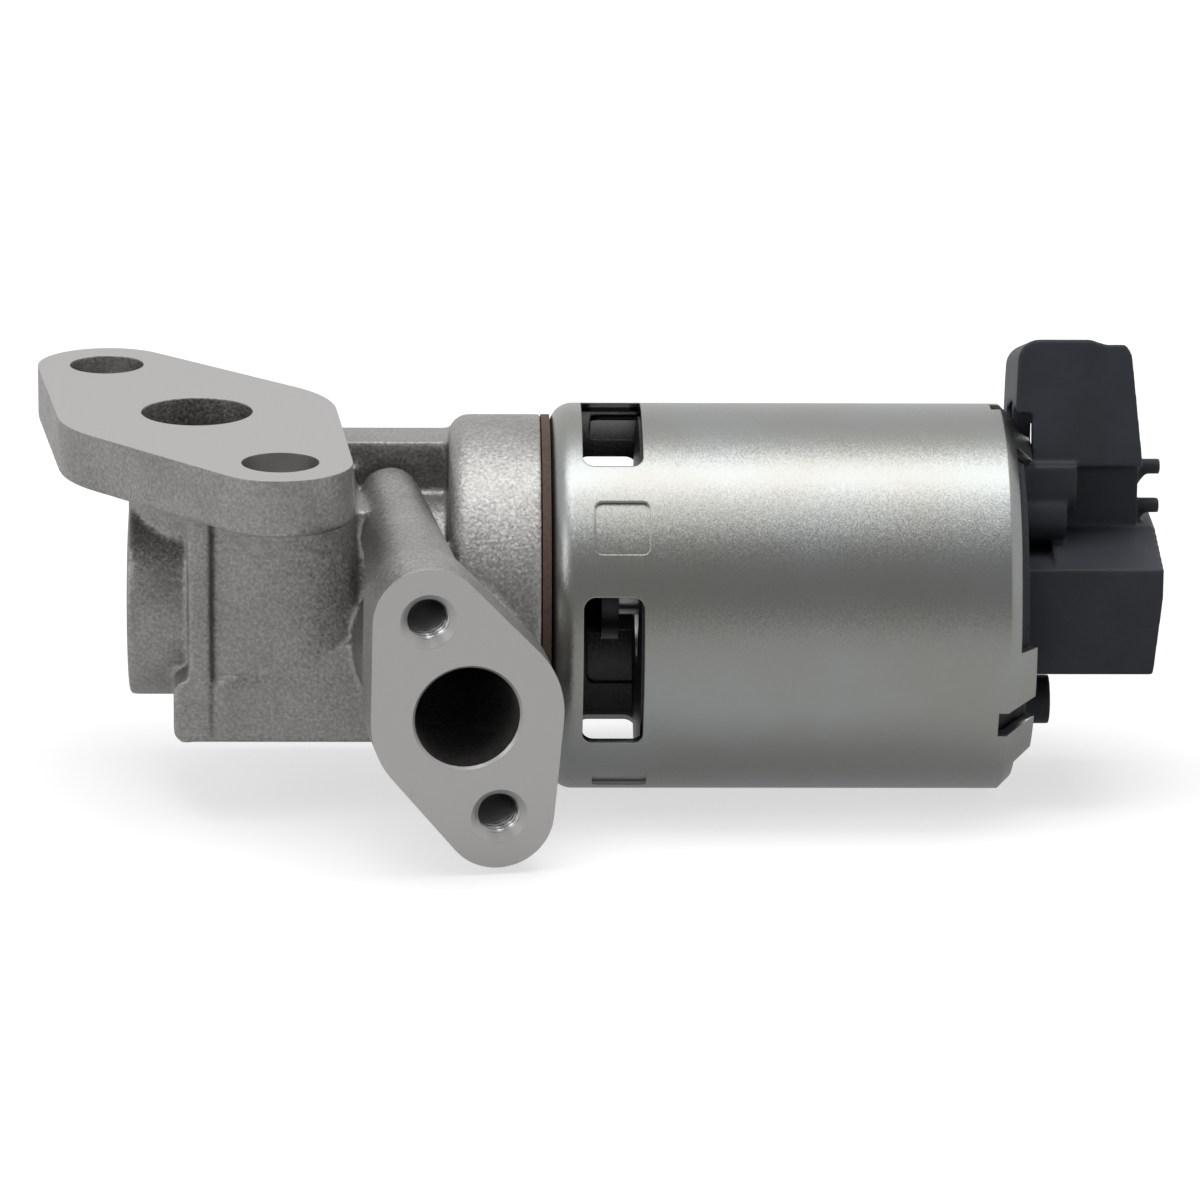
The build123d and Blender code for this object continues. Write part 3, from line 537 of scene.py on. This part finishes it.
def round_normals(mesh, radii):
    """Sets exact directions where faces lie on a cylinder about the valve's axis."""
    facing = 0.95
    normals = [Vector(corner.vector) for corner in mesh.corner_normals]
    for face in mesh.polygons:
        for loop in face.loop_indices:
            point = mesh.vertices[mesh.loops[loop].vertex_index].co
            out = Vector((0, point.y, point.z - AXIS_Z))
            reach = out.length
            out.normalize()
            for radius, side in radii:
                if abs(reach - radius) < SLACK and face.normal.dot(out) * side > facing:
                    normals[loop] = out * side
    mesh.normals_split_custom_set(normals)


def freeze(piece):
    """Replaces the piece's mesh with its modified one and drops its modifiers."""
    evaluated = piece.evaluated_get(bpy.context.evaluated_depsgraph_get())
    mesh = bpy.data.meshes.new_from_object(evaluated)
    if not mesh.polygons:
        raise RuntimeError(f"{piece.name} was left with no faces")
    mesh.name = piece.name
    piece.modifiers.clear()
    piece.data = mesh


def dress(piece, material, body, slot, *nodes):
    """Gives a piece its material and its body, and hides the CAD nodes that it stands for; the slot is not
    used.
    """
    piece.data.materials.clear()
    piece.data.materials.append(material)
    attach(piece, body)
    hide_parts(*nodes)


def add_sides(form, low, high):
    """Adds the faces between two rings of corners."""
    for i in range(len(low)):
        j = (i + 1) % len(low)
        form.faces.new((low[i], low[j], high[j], high[i]))


def close_form(name, form):
    """Makes a piece of a closed form, with its faces turned outwards."""
    bmesh.ops.recalc_face_normals(form, faces=form.faces)
    mesh = bpy.data.meshes.new(name)
    form.to_mesh(mesh)
    form.free()
    return new_piece(name, mesh)


def lathe(name, point, axis, rows, radius, segments):
    """A closed form about an axis: radius(height, turn) at each height."""
    side = axis.orthogonal().normalized()
    other = axis.cross(side)
    form = bmesh.new()
    rings = []
    for height in rows:
        ring = []
        for i in range(segments):
            turn = 2 * math.pi * i / segments
            out = side * math.cos(turn) + other * math.sin(turn)
            ring.append(form.verts.new(point + axis * height + out * radius(height, turn)))
        rings.append(ring)
    for low, high in zip(rings, rings[1:]):
        add_sides(form, low, high)
    form.faces.new(list(reversed(rings[0])))
    form.faces.new(rings[-1])
    return close_form(name, form)


def block(name, low, high):
    """A closed block between two rings of points."""
    form = bmesh.new()
    low = [form.verts.new(point) for point in low]
    high = [form.verts.new(point) for point in high]
    form.faces.new(list(reversed(low)))
    form.faces.new(high)
    add_sides(form, low, high)
    return close_form(name, form)


def slab(name, point, axis, reach):
    """A square block on a plane, for milling a face."""
    side = axis.orthogonal().normalized()
    other = axis.cross(side)
    low = [point + (side * a + other * b) * reach for a, b in ((-1, -1), (1, -1), (1, 1), (-1, 1))]
    return block(name, low, [corner + axis * MILL_THICKNESS for corner in low])


def wedge(name, plan, floor, ceiling):
    """An upright block over a plan, between two heights over the valve's axis."""
    low = [(x, y, AXIS_Z + floor) for x, y in plan]
    high = [(x, y, AXIS_Z + ceiling) for x, y in plan]
    return block(name, low, high)


def steps(low, high, number):
    """Evenly spaced values from low to high."""
    return [low + (high - low) * i / number for i in range(number + 1)]


def machine(piece, cutters):
    """Cuts each cutter away from the piece."""
    for cutter in cutters:
        cut = piece.modifiers.new("cut", "BOOLEAN")
        cut.object = cutter
        cut.solver = "MANIFOLD"
    freeze(piece)
    for cutter in cutters:
        bpy.data.objects.remove(cutter)


def soften(piece, settings):
    """Remeshes a blank evenly, rounds its edges and thins its faces."""
    remesh = piece.modifiers.new("remesh", "REMESH")
    remesh.mode = "VOXEL"
    remesh.voxel_size = settings.voxel
    smooth = piece.modifiers.new("smooth", "SMOOTH")
    smooth.iterations = settings.smoothing
    thin = piece.modifiers.new("thin", "DECIMATE")
    thin.ratio = settings.share
    freeze(piece)


def new_tree(name, inputs):
    """A geometry tree with named inputs, its group input and the identifiers of the inputs."""
    tree = bpy.data.node_groups.new(name, "GeometryNodeTree")
    tree.is_modifier = True
    identifiers = {}
    for label, kind in inputs.items():
        identifiers[label] = tree.interface.new_socket(label, in_out="INPUT", socket_type=kind).identifier
    tree.interface.new_socket("Geometry", in_out="OUTPUT", socket_type="NodeSocketGeometry")
    return tree, tree.nodes.new("NodeGroupInput").outputs, identifiers


def close_tree(tree, form, material):
    """Ends a tree with plain geometry that carries its material."""
    plain = add(tree, "GeometryNodeRealizeInstances", {"Geometry": form}).outputs["Geometry"]
    finished = add(tree, "GeometryNodeSetMaterial", {"Geometry": plain, "Material": material})
    tree.links.new(finished.outputs["Geometry"], tree.nodes.new("NodeGroupOutput").inputs["Geometry"])


def grow(name, tree, identifiers, values, place):
    """Runs a geometry tree once, keeps its result as a plain mesh and puts it in its place."""
    piece = new_piece(name, bpy.data.meshes.new(name))
    modifier = piece.modifiers.new("grow", "NODES")
    modifier.node_group = tree
    for label, value in values.items():
        modifier[identifiers[label]] = value
    freeze(piece)
    piece.data.transform(place)
    return piece


def wire_tree():
    """A wire wound on a helix that climbs along Z."""
    tree, given, identifiers = new_tree("wound_wire", {
        "Radius": "NodeSocketFloat", "Wire": "NodeSocketFloat", "Climb": "NodeSocketFloat",
        "Turns": "NodeSocketFloat", "Material": "NodeSocketMaterial"})
    helix = add(tree, "GeometryNodeCurveSpiral", {
        "Rotations": given["Turns"], "Start Radius": given["Radius"], "End Radius": given["Radius"],
        "Height": given["Climb"], "Resolution": 40}).outputs["Curve"]
    half = combine(tree, "MULTIPLY", given["Wire"], 0.5)
    section = add(tree, "GeometryNodeCurvePrimitiveCircle", {
        "Radius": half, "Resolution": 10}).outputs["Curve"]
    wire = add(tree, "GeometryNodeCurveToMesh", {
        "Curve": helix, "Profile Curve": section, "Fill Caps": True}).outputs["Mesh"]
    close_tree(tree, wire, given["Material"])
    return tree, identifiers


def pin_tree():
    """A row of square pins along X that stand along Z and taper at their tips."""
    tree, given, identifiers = new_tree("pin_row", {
        "Count": "NodeSocketInt", "Pitch": "NodeSocketFloat", "Width": "NodeSocketFloat",
        "Length": "NodeSocketFloat", "Tip": "NodeSocketFloat", "Material": "NodeSocketMaterial"})
    top = add(tree, "ShaderNodeCombineXYZ", {"Z": given["Length"]}).outputs["Vector"]
    line = add(tree, "GeometryNodeCurvePrimitiveLine", {"End": top}).outputs["Curve"]
    line = add(tree, "GeometryNodeResampleCurve", {"Curve": line, "Count": 21}).outputs["Curve"]
    along = add(tree, "GeometryNodeSplineParameter").outputs["Factor"]
    tip_start = 0.85
    taper = fade(tree, along, (tip_start, 1), (1, given["Tip"]))
    line = add(tree, "GeometryNodeSetCurveRadius", {"Curve": line, "Radius": taper}).outputs["Curve"]
    section = add(tree, "GeometryNodeCurvePrimitiveQuadrilateral", {
        "Width": given["Width"], "Height": given["Width"]}).outputs["Curve"]
    pin = add(tree, "GeometryNodeCurveToMesh", {
        "Curve": line, "Profile Curve": section, "Fill Caps": True}).outputs["Mesh"]
    offset = add(tree, "ShaderNodeCombineXYZ", {"X": given["Pitch"]}).outputs["Vector"]
    row = add(tree, "GeometryNodeMeshLine", {"Count": given["Count"], "Offset": offset}).outputs["Mesh"]
    pins = add(tree, "GeometryNodeInstanceOnPoints", {"Points": row, "Instance": pin}).outputs["Instances"]
    close_tree(tree, pins, given["Material"])
    return tree, identifiers


def along_valve(start):
    """Turns Z to the valve's axis and puts the origin on that axis at an X."""
    turn = UP.rotation_difference(RIGHT).to_matrix().to_4x4()
    return Matrix.Translation(Vector((start, 0, AXIS_Z))) @ turn


def near_bolt_hole():
    """Point and direction of the top flange's hole on the front side."""
    point, axis = mount_place("top_bolts")
    openings = frame["record"]["physics"]["openings"]
    low, high = next(entry["box_m"] for entry in openings if entry["name"] == "near_bolt_hole")
    return Vector(((low[0] + high[0]) / 2, (low[1] + high[1]) / 2, point.z)), axis


def widen_faces(piece, faces, allowance):
    """Moves the vertices that lie on each machined face outwards."""
    for vertex in piece.data.vertices:
        for point, axis, reach in faces:
            offset = vertex.co - point
            if abs(offset.dot(axis)) < SLACK and offset.length < reach:
                vertex.co = vertex.co + axis * allowance


def narrow_holes(piece, holes):
    """Draws the vertices of each hole inwards, so that the cutter finds solid metal."""
    share = 0.6
    for vertex in piece.data.vertices:
        for point, axis, radius, depth, proud in holes:
            offset = vertex.co - point
            height = offset.dot(axis)
            across = offset - axis * height
            if across.length < radius and -depth < height < proud:
                vertex.co = point + axis * height + across * share


class EGR_OT_casting(bpy.types.Operator):
    """Makes the cast body: a soft-edged blank that is milled, bored and tapped."""
    bl_idname = "egr.casting"
    bl_label = "Cast body"

    def execute(self, context):
        settings = context.scene.egr_casting
        piece = merged_copy("valve_body", "cast_body")
        self.fill(piece, settings)
        machine(piece, [self.groove(settings)])
        soften(piece, settings)
        machine(piece, self.mills() + self.drills() + self.taps(settings))
        smooth_faces(piece.data)
        dress(piece, cast_aluminium(settings), "housing", "cast_aluminium", "valve_body")
        return {"FINISHED"}

    def faces(self):
        """Point, direction and reach of each milled face."""
        top, top_axis = mount_place("top_port")
        front, front_axis = mount_place("front_flange_face")
        collar = Vector((COLLAR_X, 0, AXIS_Z))
        return (top, top_axis, MILL_REACH), (front, front_axis, MILL_REACH), (collar, RIGHT, CAN_RADIUS)

    def fill(self, piece, settings):
        """Leaves metal on the blank where it is machined later."""
        widen_faces(piece, self.faces(), settings.allowance)
        spare = settings.allowance + MM
        bolt = mount_size("top_bolts", "hole_r_mm") + HOLE_MARGIN
        holes = [(*near_bolt_hole(), bolt, DRILL_DEPTH + MM, spare)]
        for name in TAPPED_HOLES:
            depth = mount_size(name, "length_mm") + 2 * HOLE_MARGIN
            holes.append((*mount_place(name), settings.countersink + HOLE_MARGIN, depth, spare + MM))
        narrow_holes(piece, holes)

    def groove(self, settings):
        """The drafted step down from the upright rib, over the block's whole height."""
        left, right = settings.rib_edge, settings.rib_edge + settings.groove_width
        front = settings.block_front
        outside = front - 0.5 * MM
        deepest = (left + settings.groove_width / 3, front + settings.groove_depth)
        plan = [(left, outside), (right, outside), (right, front), deepest]
        return wedge("groove", plan, settings.groove_floor, settings.groove_top)

    def mills(self):
        """The blocks that mill the two flanges and the collar."""
        top, (front, front_axis, reach), collar = self.faces()
        return [slab("mill_top", *top), slab("mill_front", front, front_axis, reach / 2),
                slab("mill_collar", *collar)]

    def drills(self):
        """The drill of the top flange's hole and the cutter of the front port."""
        bolt = mount_size("top_bolts", "hole_r_mm")
        port = mount_size("front_port", "r_mm")
        drill = lathe("drill_bolt", *near_bolt_hole(), (-DRILL_DEPTH, MM),
                      lambda height, turn: bolt, segments=96)
        bore = lathe("bore_port", *mount_place("front_port"), (-PORT_DEPTH, 0, 2 * MM),
                     lambda height, turn: port + max(0, height), segments=128)
        return [drill, bore]

    def taps(self, settings):
        """The taps of the front flange's two threaded holes."""
        depth = mount_size(TAPPED_HOLES[0], "length_mm")
        thread = self.thread(settings, mount_size(TAPPED_HOLES[0], "r_mm"))
        rows = steps(-depth, 2 * MM, number=150)
        return [lathe(f"tap_{number}", *mount_place(name), rows, thread, segments=48)
                for number, name in enumerate(TAPPED_HOLES)]

    def thread(self, settings, drill):
        """The reach of the tap's thread and countersink at a height and turn."""
        def reach(height, turn):
            phase = (height / settings.pitch - turn / (2 * math.pi)) % 1
            groove = max(0.0, 1 - abs(2 * phase - 1) * THREAD_STEEPNESS) * settings.thread_depth
            return max(drill + groove, drill + height * COUNTERSINK_SLOPE)
        return reach


class EGR_OT_can(bpy.types.Operator):
    """Dresses the solenoid's steel can."""
    bl_idname = "egr.can"
    bl_label = "Solenoid can"

    def execute(self, context):
        settings = context.scene.egr_can
        piece = merged_copy("solenoid_can", "steel_can")
        smooth_faces(piece.data)
        inner = CAN_RADIUS - settings.wall
        round_normals(piece.data, ((CAN_RADIUS, 1), (CAN_RADIUS - settings.dimple, 1),
                                   (inner, -1), (inner - settings.dimple, -1)))
        dress(piece, zinc_plating(settings), "housing", "zinc_plated_steel", "solenoid_can")
        return {"FINISHED"}


class EGR_OT_cap(bpy.types.Operator):
    """Dresses the sensor cap with its plug socket."""
    bl_idname = "egr.cap"
    bl_label = "Sensor cap"

    def execute(self, context):
        settings = context.scene.egr_cap
        piece = merged_copy("sensor_cap", "moulded_cap")
        soften(piece, settings)
        flat_faces_first(piece, crease=60)
        dress(piece, black_moulding(settings), "housing", "black_plastic", "sensor_cap")
        return {"FINISHED"}


class EGR_OT_inside(bpy.types.Operator):
    """Makes the wires, the pins and the turned pieces, and gives every other CAD node its material."""
    bl_idname = "egr.inside"
    bl_label = "Inside pieces"

    def execute(self, context):
        settings = context.scene.egr_inside
        makes = self.materials(settings, context.scene.egr_cap)
        # Painted shade: the zinc guide cap is given the dark iron material, to stand for the shade inside the
        # can
        for node, slot in (("stem_guide", "bush_bronze"), ("guide_cap", "magnet_iron")):
            piece = merged_copy(node, node + "_turned")
            smooth_faces(piece.data)
            dress(piece, makes[slot], "housing", slot, node)
        self.plug(settings)
        self.terminals(settings, makes["tinned_brass"])
        self.winding(settings, makes["copper_wire"])
        for node, wire, turns in (("return_spring", settings.spring_wire, settings.spring_turns),
                                  ("plunger_spring", settings.small_wire, settings.small_turns)):
            self.spring(settings, makes["spring_steel"], node, wire, turns)
        slots = {entry["node"]: entry["material_slot"] for entry in frame["record"]["subparts"]}
        for name, node in frame["nodes"].items():
            slot = slots[name]
            if node.hide_render or slot not in makes:
                continue
            node.data.materials.clear()
            node.data.materials.append(makes[slot])
        return {"FINISHED"}

    def materials(self, settings, cap):
        """A material for each slot of the pieces inside."""
        return {
            # Ground steel: bright, with a narrow shine
            "hard_steel": turned_metal("hard_steel", settings.steel, roughness=0.3),
            # Bare soft iron, painted a darker grey as the shade inside the can, with a wide, weak shine
            "magnet_iron": turned_metal("magnet_iron", settings.iron, roughness=0.45),
            # Sintered bush full of oil: dark, and painted nearly black as the shade inside the can
            "bush_bronze": turned_metal("bush_bronze", settings.bush, roughness=0.5),
            # Drawn wire: bright, with marks along it
            "spring_steel": turned_metal("spring_steel", settings.steel, roughness=0.35),
            # Enamelled copper: warm red, and marked turn by turn
            "copper_wire": turned_metal("copper_wire", settings.copper, roughness=0.3, size=0.9),
            # Tinned brass: pale and slightly warm
            "tinned_brass": turned_metal("tinned_brass", cap.tin, roughness=0.3),
            # Pressed fibre: brown and rough, without shine
            "gasket_fibre": dull_material(
                "gasket_fibre", settings.gasket, size=0.6, depth=0.05, roughness=0.85),
            # Moulded rubber: black, with a soft shine
            "seal_rubber": dull_material(
                "seal_rubber", settings.rubber, size=0.5, depth=0.01, roughness=0.5),
            # Natural moulding: cream white
            "sensor_plastic": dull_material(
                "sensor_plastic", settings.white_plastic, size=0.8, depth=0.01, roughness=0.45),
            # Fired ceramic: white and smooth
            "track_ceramic": dull_material(
                "track_ceramic", settings.ceramic, size=0.8, depth=0.005, roughness=0.3),
            "zinc_plated_steel": bpy.data.materials["zinc_plated_steel"],
            "black_plastic": bpy.data.materials["black_plastic"],
        }

    def plug(self, settings):
        """The pressed plug at the casting's left end."""
        piece = merged_copy("end_plug", "pressed_plug")
        flat_faces_first(piece)
        dull_zinc = turned_metal("dull_zinc", settings.plug, roughness=0.5)
        dress(piece, dull_zinc, "housing", "zinc_plated_steel", "end_plug")

    def terminals(self, settings, material):
        """The socket's row of pins."""
        low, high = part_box("connector_terminals")
        _, out = mount_place("plug_socket")
        pitch = (high.x - low.x - settings.pin_width) / (settings.pins - 1)
        middle = (low + high) / 2
        root = middle - out * settings.pin_length / 2 - RIGHT * pitch * (settings.pins - 1) / 2
        turn = Matrix((RIGHT, out.cross(RIGHT), out)).transposed().to_4x4()
        tree, identifiers = pin_tree()
        piece = grow("socket_pins", tree, identifiers, {
            "Count": settings.pins, "Pitch": pitch, "Width": settings.pin_width,
            "Length": settings.pin_length, "Tip": settings.pin_tip, "Material": material},
            Matrix.Translation(root) @ turn)
        dress(piece, material, "housing", "tinned_brass", "connector_terminals")

    def winding(self, settings, material):
        """The coil's outer layer of wire on the layers below."""
        low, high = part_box("coil_winding")
        wire = settings.winding_wire
        middle_of_layer = (high.z - low.z - wire) / 2
        long = high.x - low.x
        piece = self.wound("wound_layer", material, low.x, long, wire, middle_of_layer, (long - wire) / wire)
        dress(piece, material, "housing", "copper_wire", "coil_winding")
        end = Vector((low.x, 0, AXIS_Z))
        core = lathe("layers_below", end, RIGHT, (0, long),
                     lambda height, turn: middle_of_layer, segments=96)
        hub = lathe("hub", end, RIGHT, (-MM, long + MM),
                    lambda height, turn: settings.winding_hub, segments=96)
        machine(core, [hub])
        smooth_faces(core.data)
        dress(core, material, "housing", "copper_wire", "coil_winding")

    def spring(self, settings, material, node, wire, turns):
        """A spring wound over the length of its CAD node."""
        low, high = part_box(node)
        long = high.x - low.x
        radius = (high.z - low.z - wire) / 2
        piece = self.wound(node + "_wire", material, low.x, long, wire, radius, turns)
        dress(piece, material, "housing", "spring_steel", node)
        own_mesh(piece)

    def wound(self, name, material, start, long, wire, radius, turns):
        """A wire wound about the valve's axis over a length from an X."""
        tree, identifiers = wire_tree()
        piece = grow(name, tree, identifiers, {
            "Radius": radius, "Wire": wire, "Climb": long - wire, "Turns": float(turns),
            "Material": material}, along_valve(start + wire / 2))
        smooth_faces(piece.data, crease=60)
        return piece


class EGR_OT_stage(bpy.types.Operator):
    """Sets the floor, the lamps, the world and the camera."""
    bl_idname = "egr.stage"
    bl_label = "Studio"

    def execute(self, context):
        scene = context.scene
        settings = scene.egr_stage
        self.floor(settings)
        self.world(scene, settings)
        middle = (CAD_LOW + CAD_HIGH) / 2
        for name, watts, offset, size in LAMPS:
            self.lamp(scene, name, middle + Vector(offset), middle, size, getattr(settings, watts))
        self.camera(scene, settings)
        scene.view_settings.view_transform = "Standard"
        return {"FINISHED"}

    def floor(self, settings):
        """A pale floor under the object."""
        half, height = FLOOR_HALF, CAD_LOW.z - FLOOR_DROP
        corners = [(-half, -half, height), (half, -half, height), (half, half, height), (-half, half, height)]
        mesh = bpy.data.meshes.new("floor")
        mesh.from_pydata(corners, [], [(0, 1, 2, 3)])
        mesh.materials.append(self.pale_floor(settings))
        new_piece("floor", mesh)

    def pale_floor(self, settings):
        """Matt white paper: it takes a faint shadow, and shows white where it is seen or mirrored."""
        material, tree, place = new_material("pale_floor")
        skin = patchy(tree, place, darker(settings.floor, 0.99), settings.floor, size=150, limits=(0.3, 0.7))
        away = add(tree, "ShaderNodeVectorMath", {0: place}, operation="LENGTH").outputs["Value"]
        white = fade(tree, away, FLOOR_FADE, (settings.floor_white, settings.floor_white_far))
        path, seen = self.light_path(tree)
        mirrored = combine(tree, "MULTIPLY", path["Is Glossy Ray"], settings.floor_mirrored)
        white = combine(tree, "MULTIPLY", combine(tree, "MAXIMUM", seen, mirrored), white)
        finish_material(tree, {
            "Base Color": skin, "Emission Strength": white, "Emission Color": WHITE, "Roughness": 0.8})
        return material

    def light_path(self, tree):
        """What kind of ray looks, and 1 where the camera looks or sees through glass."""
        path = add(tree, "ShaderNodeLightPath").outputs
        return path, combine(tree, "MAXIMUM", path["Is Camera Ray"], path["Is Transmission Ray"])

    def world(self, scene, settings):
        """White behind the object, and a soft room that is dimmer behind the camera."""
        world = bpy.data.worlds.new("studio")
        scene.world = world
        world.use_nodes = True
        tree = world.node_tree
        tree.nodes.clear()
        path, seen = self.light_path(tree)
        direction = add(tree, "ShaderNodeTexCoord").outputs["Generated"]
        parts = add(tree, "ShaderNodeSeparateXYZ", {"Vector": direction}).outputs
        sides = fade(tree, size_of(tree, parts["X"]), SIDE_FADE, (0, settings.side_room))
        glossy = fade(tree, parts["Y"], FRONT_FADE, (settings.front_room, 1))
        glossy = combine(tree, "MINIMUM", combine(tree, "ADD", glossy, sides), 1)
        soft, mirrored, white = (
            add(tree, "ShaderNodeBackground", {"Color": WHITE, "Strength": strength}).outputs["Background"]
            for strength in (settings.room, glossy, 1))
        lit = add(tree, "ShaderNodeMixShader", {0: path["Is Glossy Ray"], 1: soft, 2: mirrored})
        shown = add(tree, "ShaderNodeMixShader", {0: seen, 1: lit.outputs["Shader"], 2: white})
        add(tree, "ShaderNodeOutputWorld", {"Surface": shown.outputs["Shader"]})

    def lamp(self, scene, name, place, target, size, watts):
        """A soft rectangular lamp that faces a point."""
        lamp = bpy.data.lights.new(name, "AREA")
        lamp.shape = "RECTANGLE"
        lamp.size, lamp.size_y = size
        lamp.energy = watts
        holder = bpy.data.objects.new(name, lamp)
        holder.location = place
        holder.rotation_euler = (target - place).to_track_quat("-Z", "Y").to_euler()
        scene.collection.objects.link(holder)

    def camera(self, scene, settings):
        """The photograph's camera."""
        azimuth, elevation = settings.azimuth, settings.elevation
        flat = math.cos(elevation)
        back = Vector((math.sin(azimuth) * flat, -math.cos(azimuth) * flat, math.sin(elevation)))
        right = Matrix.Rotation(settings.roll, 3, back) @ UP.cross(back).normalized()
        up = back.cross(right)
        camera = bpy.data.objects.new("camera", bpy.data.cameras.new("camera"))
        camera.data.lens = settings.lens
        camera.data.sensor_width = SENSOR_WIDTH
        camera.data.clip_start = NEAREST_SEEN
        turn = Matrix((right, up, back)).transposed().to_4x4()
        camera.matrix_world = Matrix.Translation(Vector(settings.target) + back * settings.distance) @ turn
        scene.collection.objects.link(camera)
        scene.camera = camera


class EGR_PT_panel(bpy.types.Panel):
    """Lists the pieces and their settings."""
    bl_idname = "EGR_PT_panel"
    bl_label = "EGR Valve"
    bl_space_type = "VIEW_3D"
    bl_region_type = "UI"
    bl_category = "EGR Valve"

    def draw(self, context):
        for group, (_, operator) in GROUPS.items():
            box = self.layout.box()
            box.operator(operator.bl_idname)
            settings = getattr(context.scene, group)
            for name in settings.bl_rna.properties.keys():
                if name not in ("rna_type", "name"):
                    box.prop(settings, name)


# Each group of settings in the scene, with its class and its operator
GROUPS = {
    "egr_casting": (CastingSettings, EGR_OT_casting),
    "egr_can": (CanSettings, EGR_OT_can),
    "egr_cap": (CapSettings, EGR_OT_cap),
    "egr_inside": (InsideSettings, EGR_OT_inside),
    "egr_stage": (StageSettings, EGR_OT_stage),
}
CLASSES = [each for pair in GROUPS.values() for each in pair] + [EGR_PT_panel]


def register():
    """Makes the classes known and gives the scene its settings."""
    for each in CLASSES:
        bpy.utils.register_class(each)
    for name, (group, _) in GROUPS.items():
        setattr(bpy.types.Scene, name, bpy.props.PointerProperty(type=group))


def unregister():
    """Takes the settings and the classes away again."""
    for name in GROUPS:
        delattr(bpy.types.Scene, name)
    for each in reversed(CLASSES):
        bpy.utils.unregister_class(each)


def main():
    """Makes every piece and the studio in order."""
    register()
    bpy.ops.egr.casting()
    bpy.ops.egr.can()
    bpy.ops.egr.cap()
    bpy.ops.egr.inside()
    bpy.ops.egr.stage()


if __name__ == "__main__":
    main()
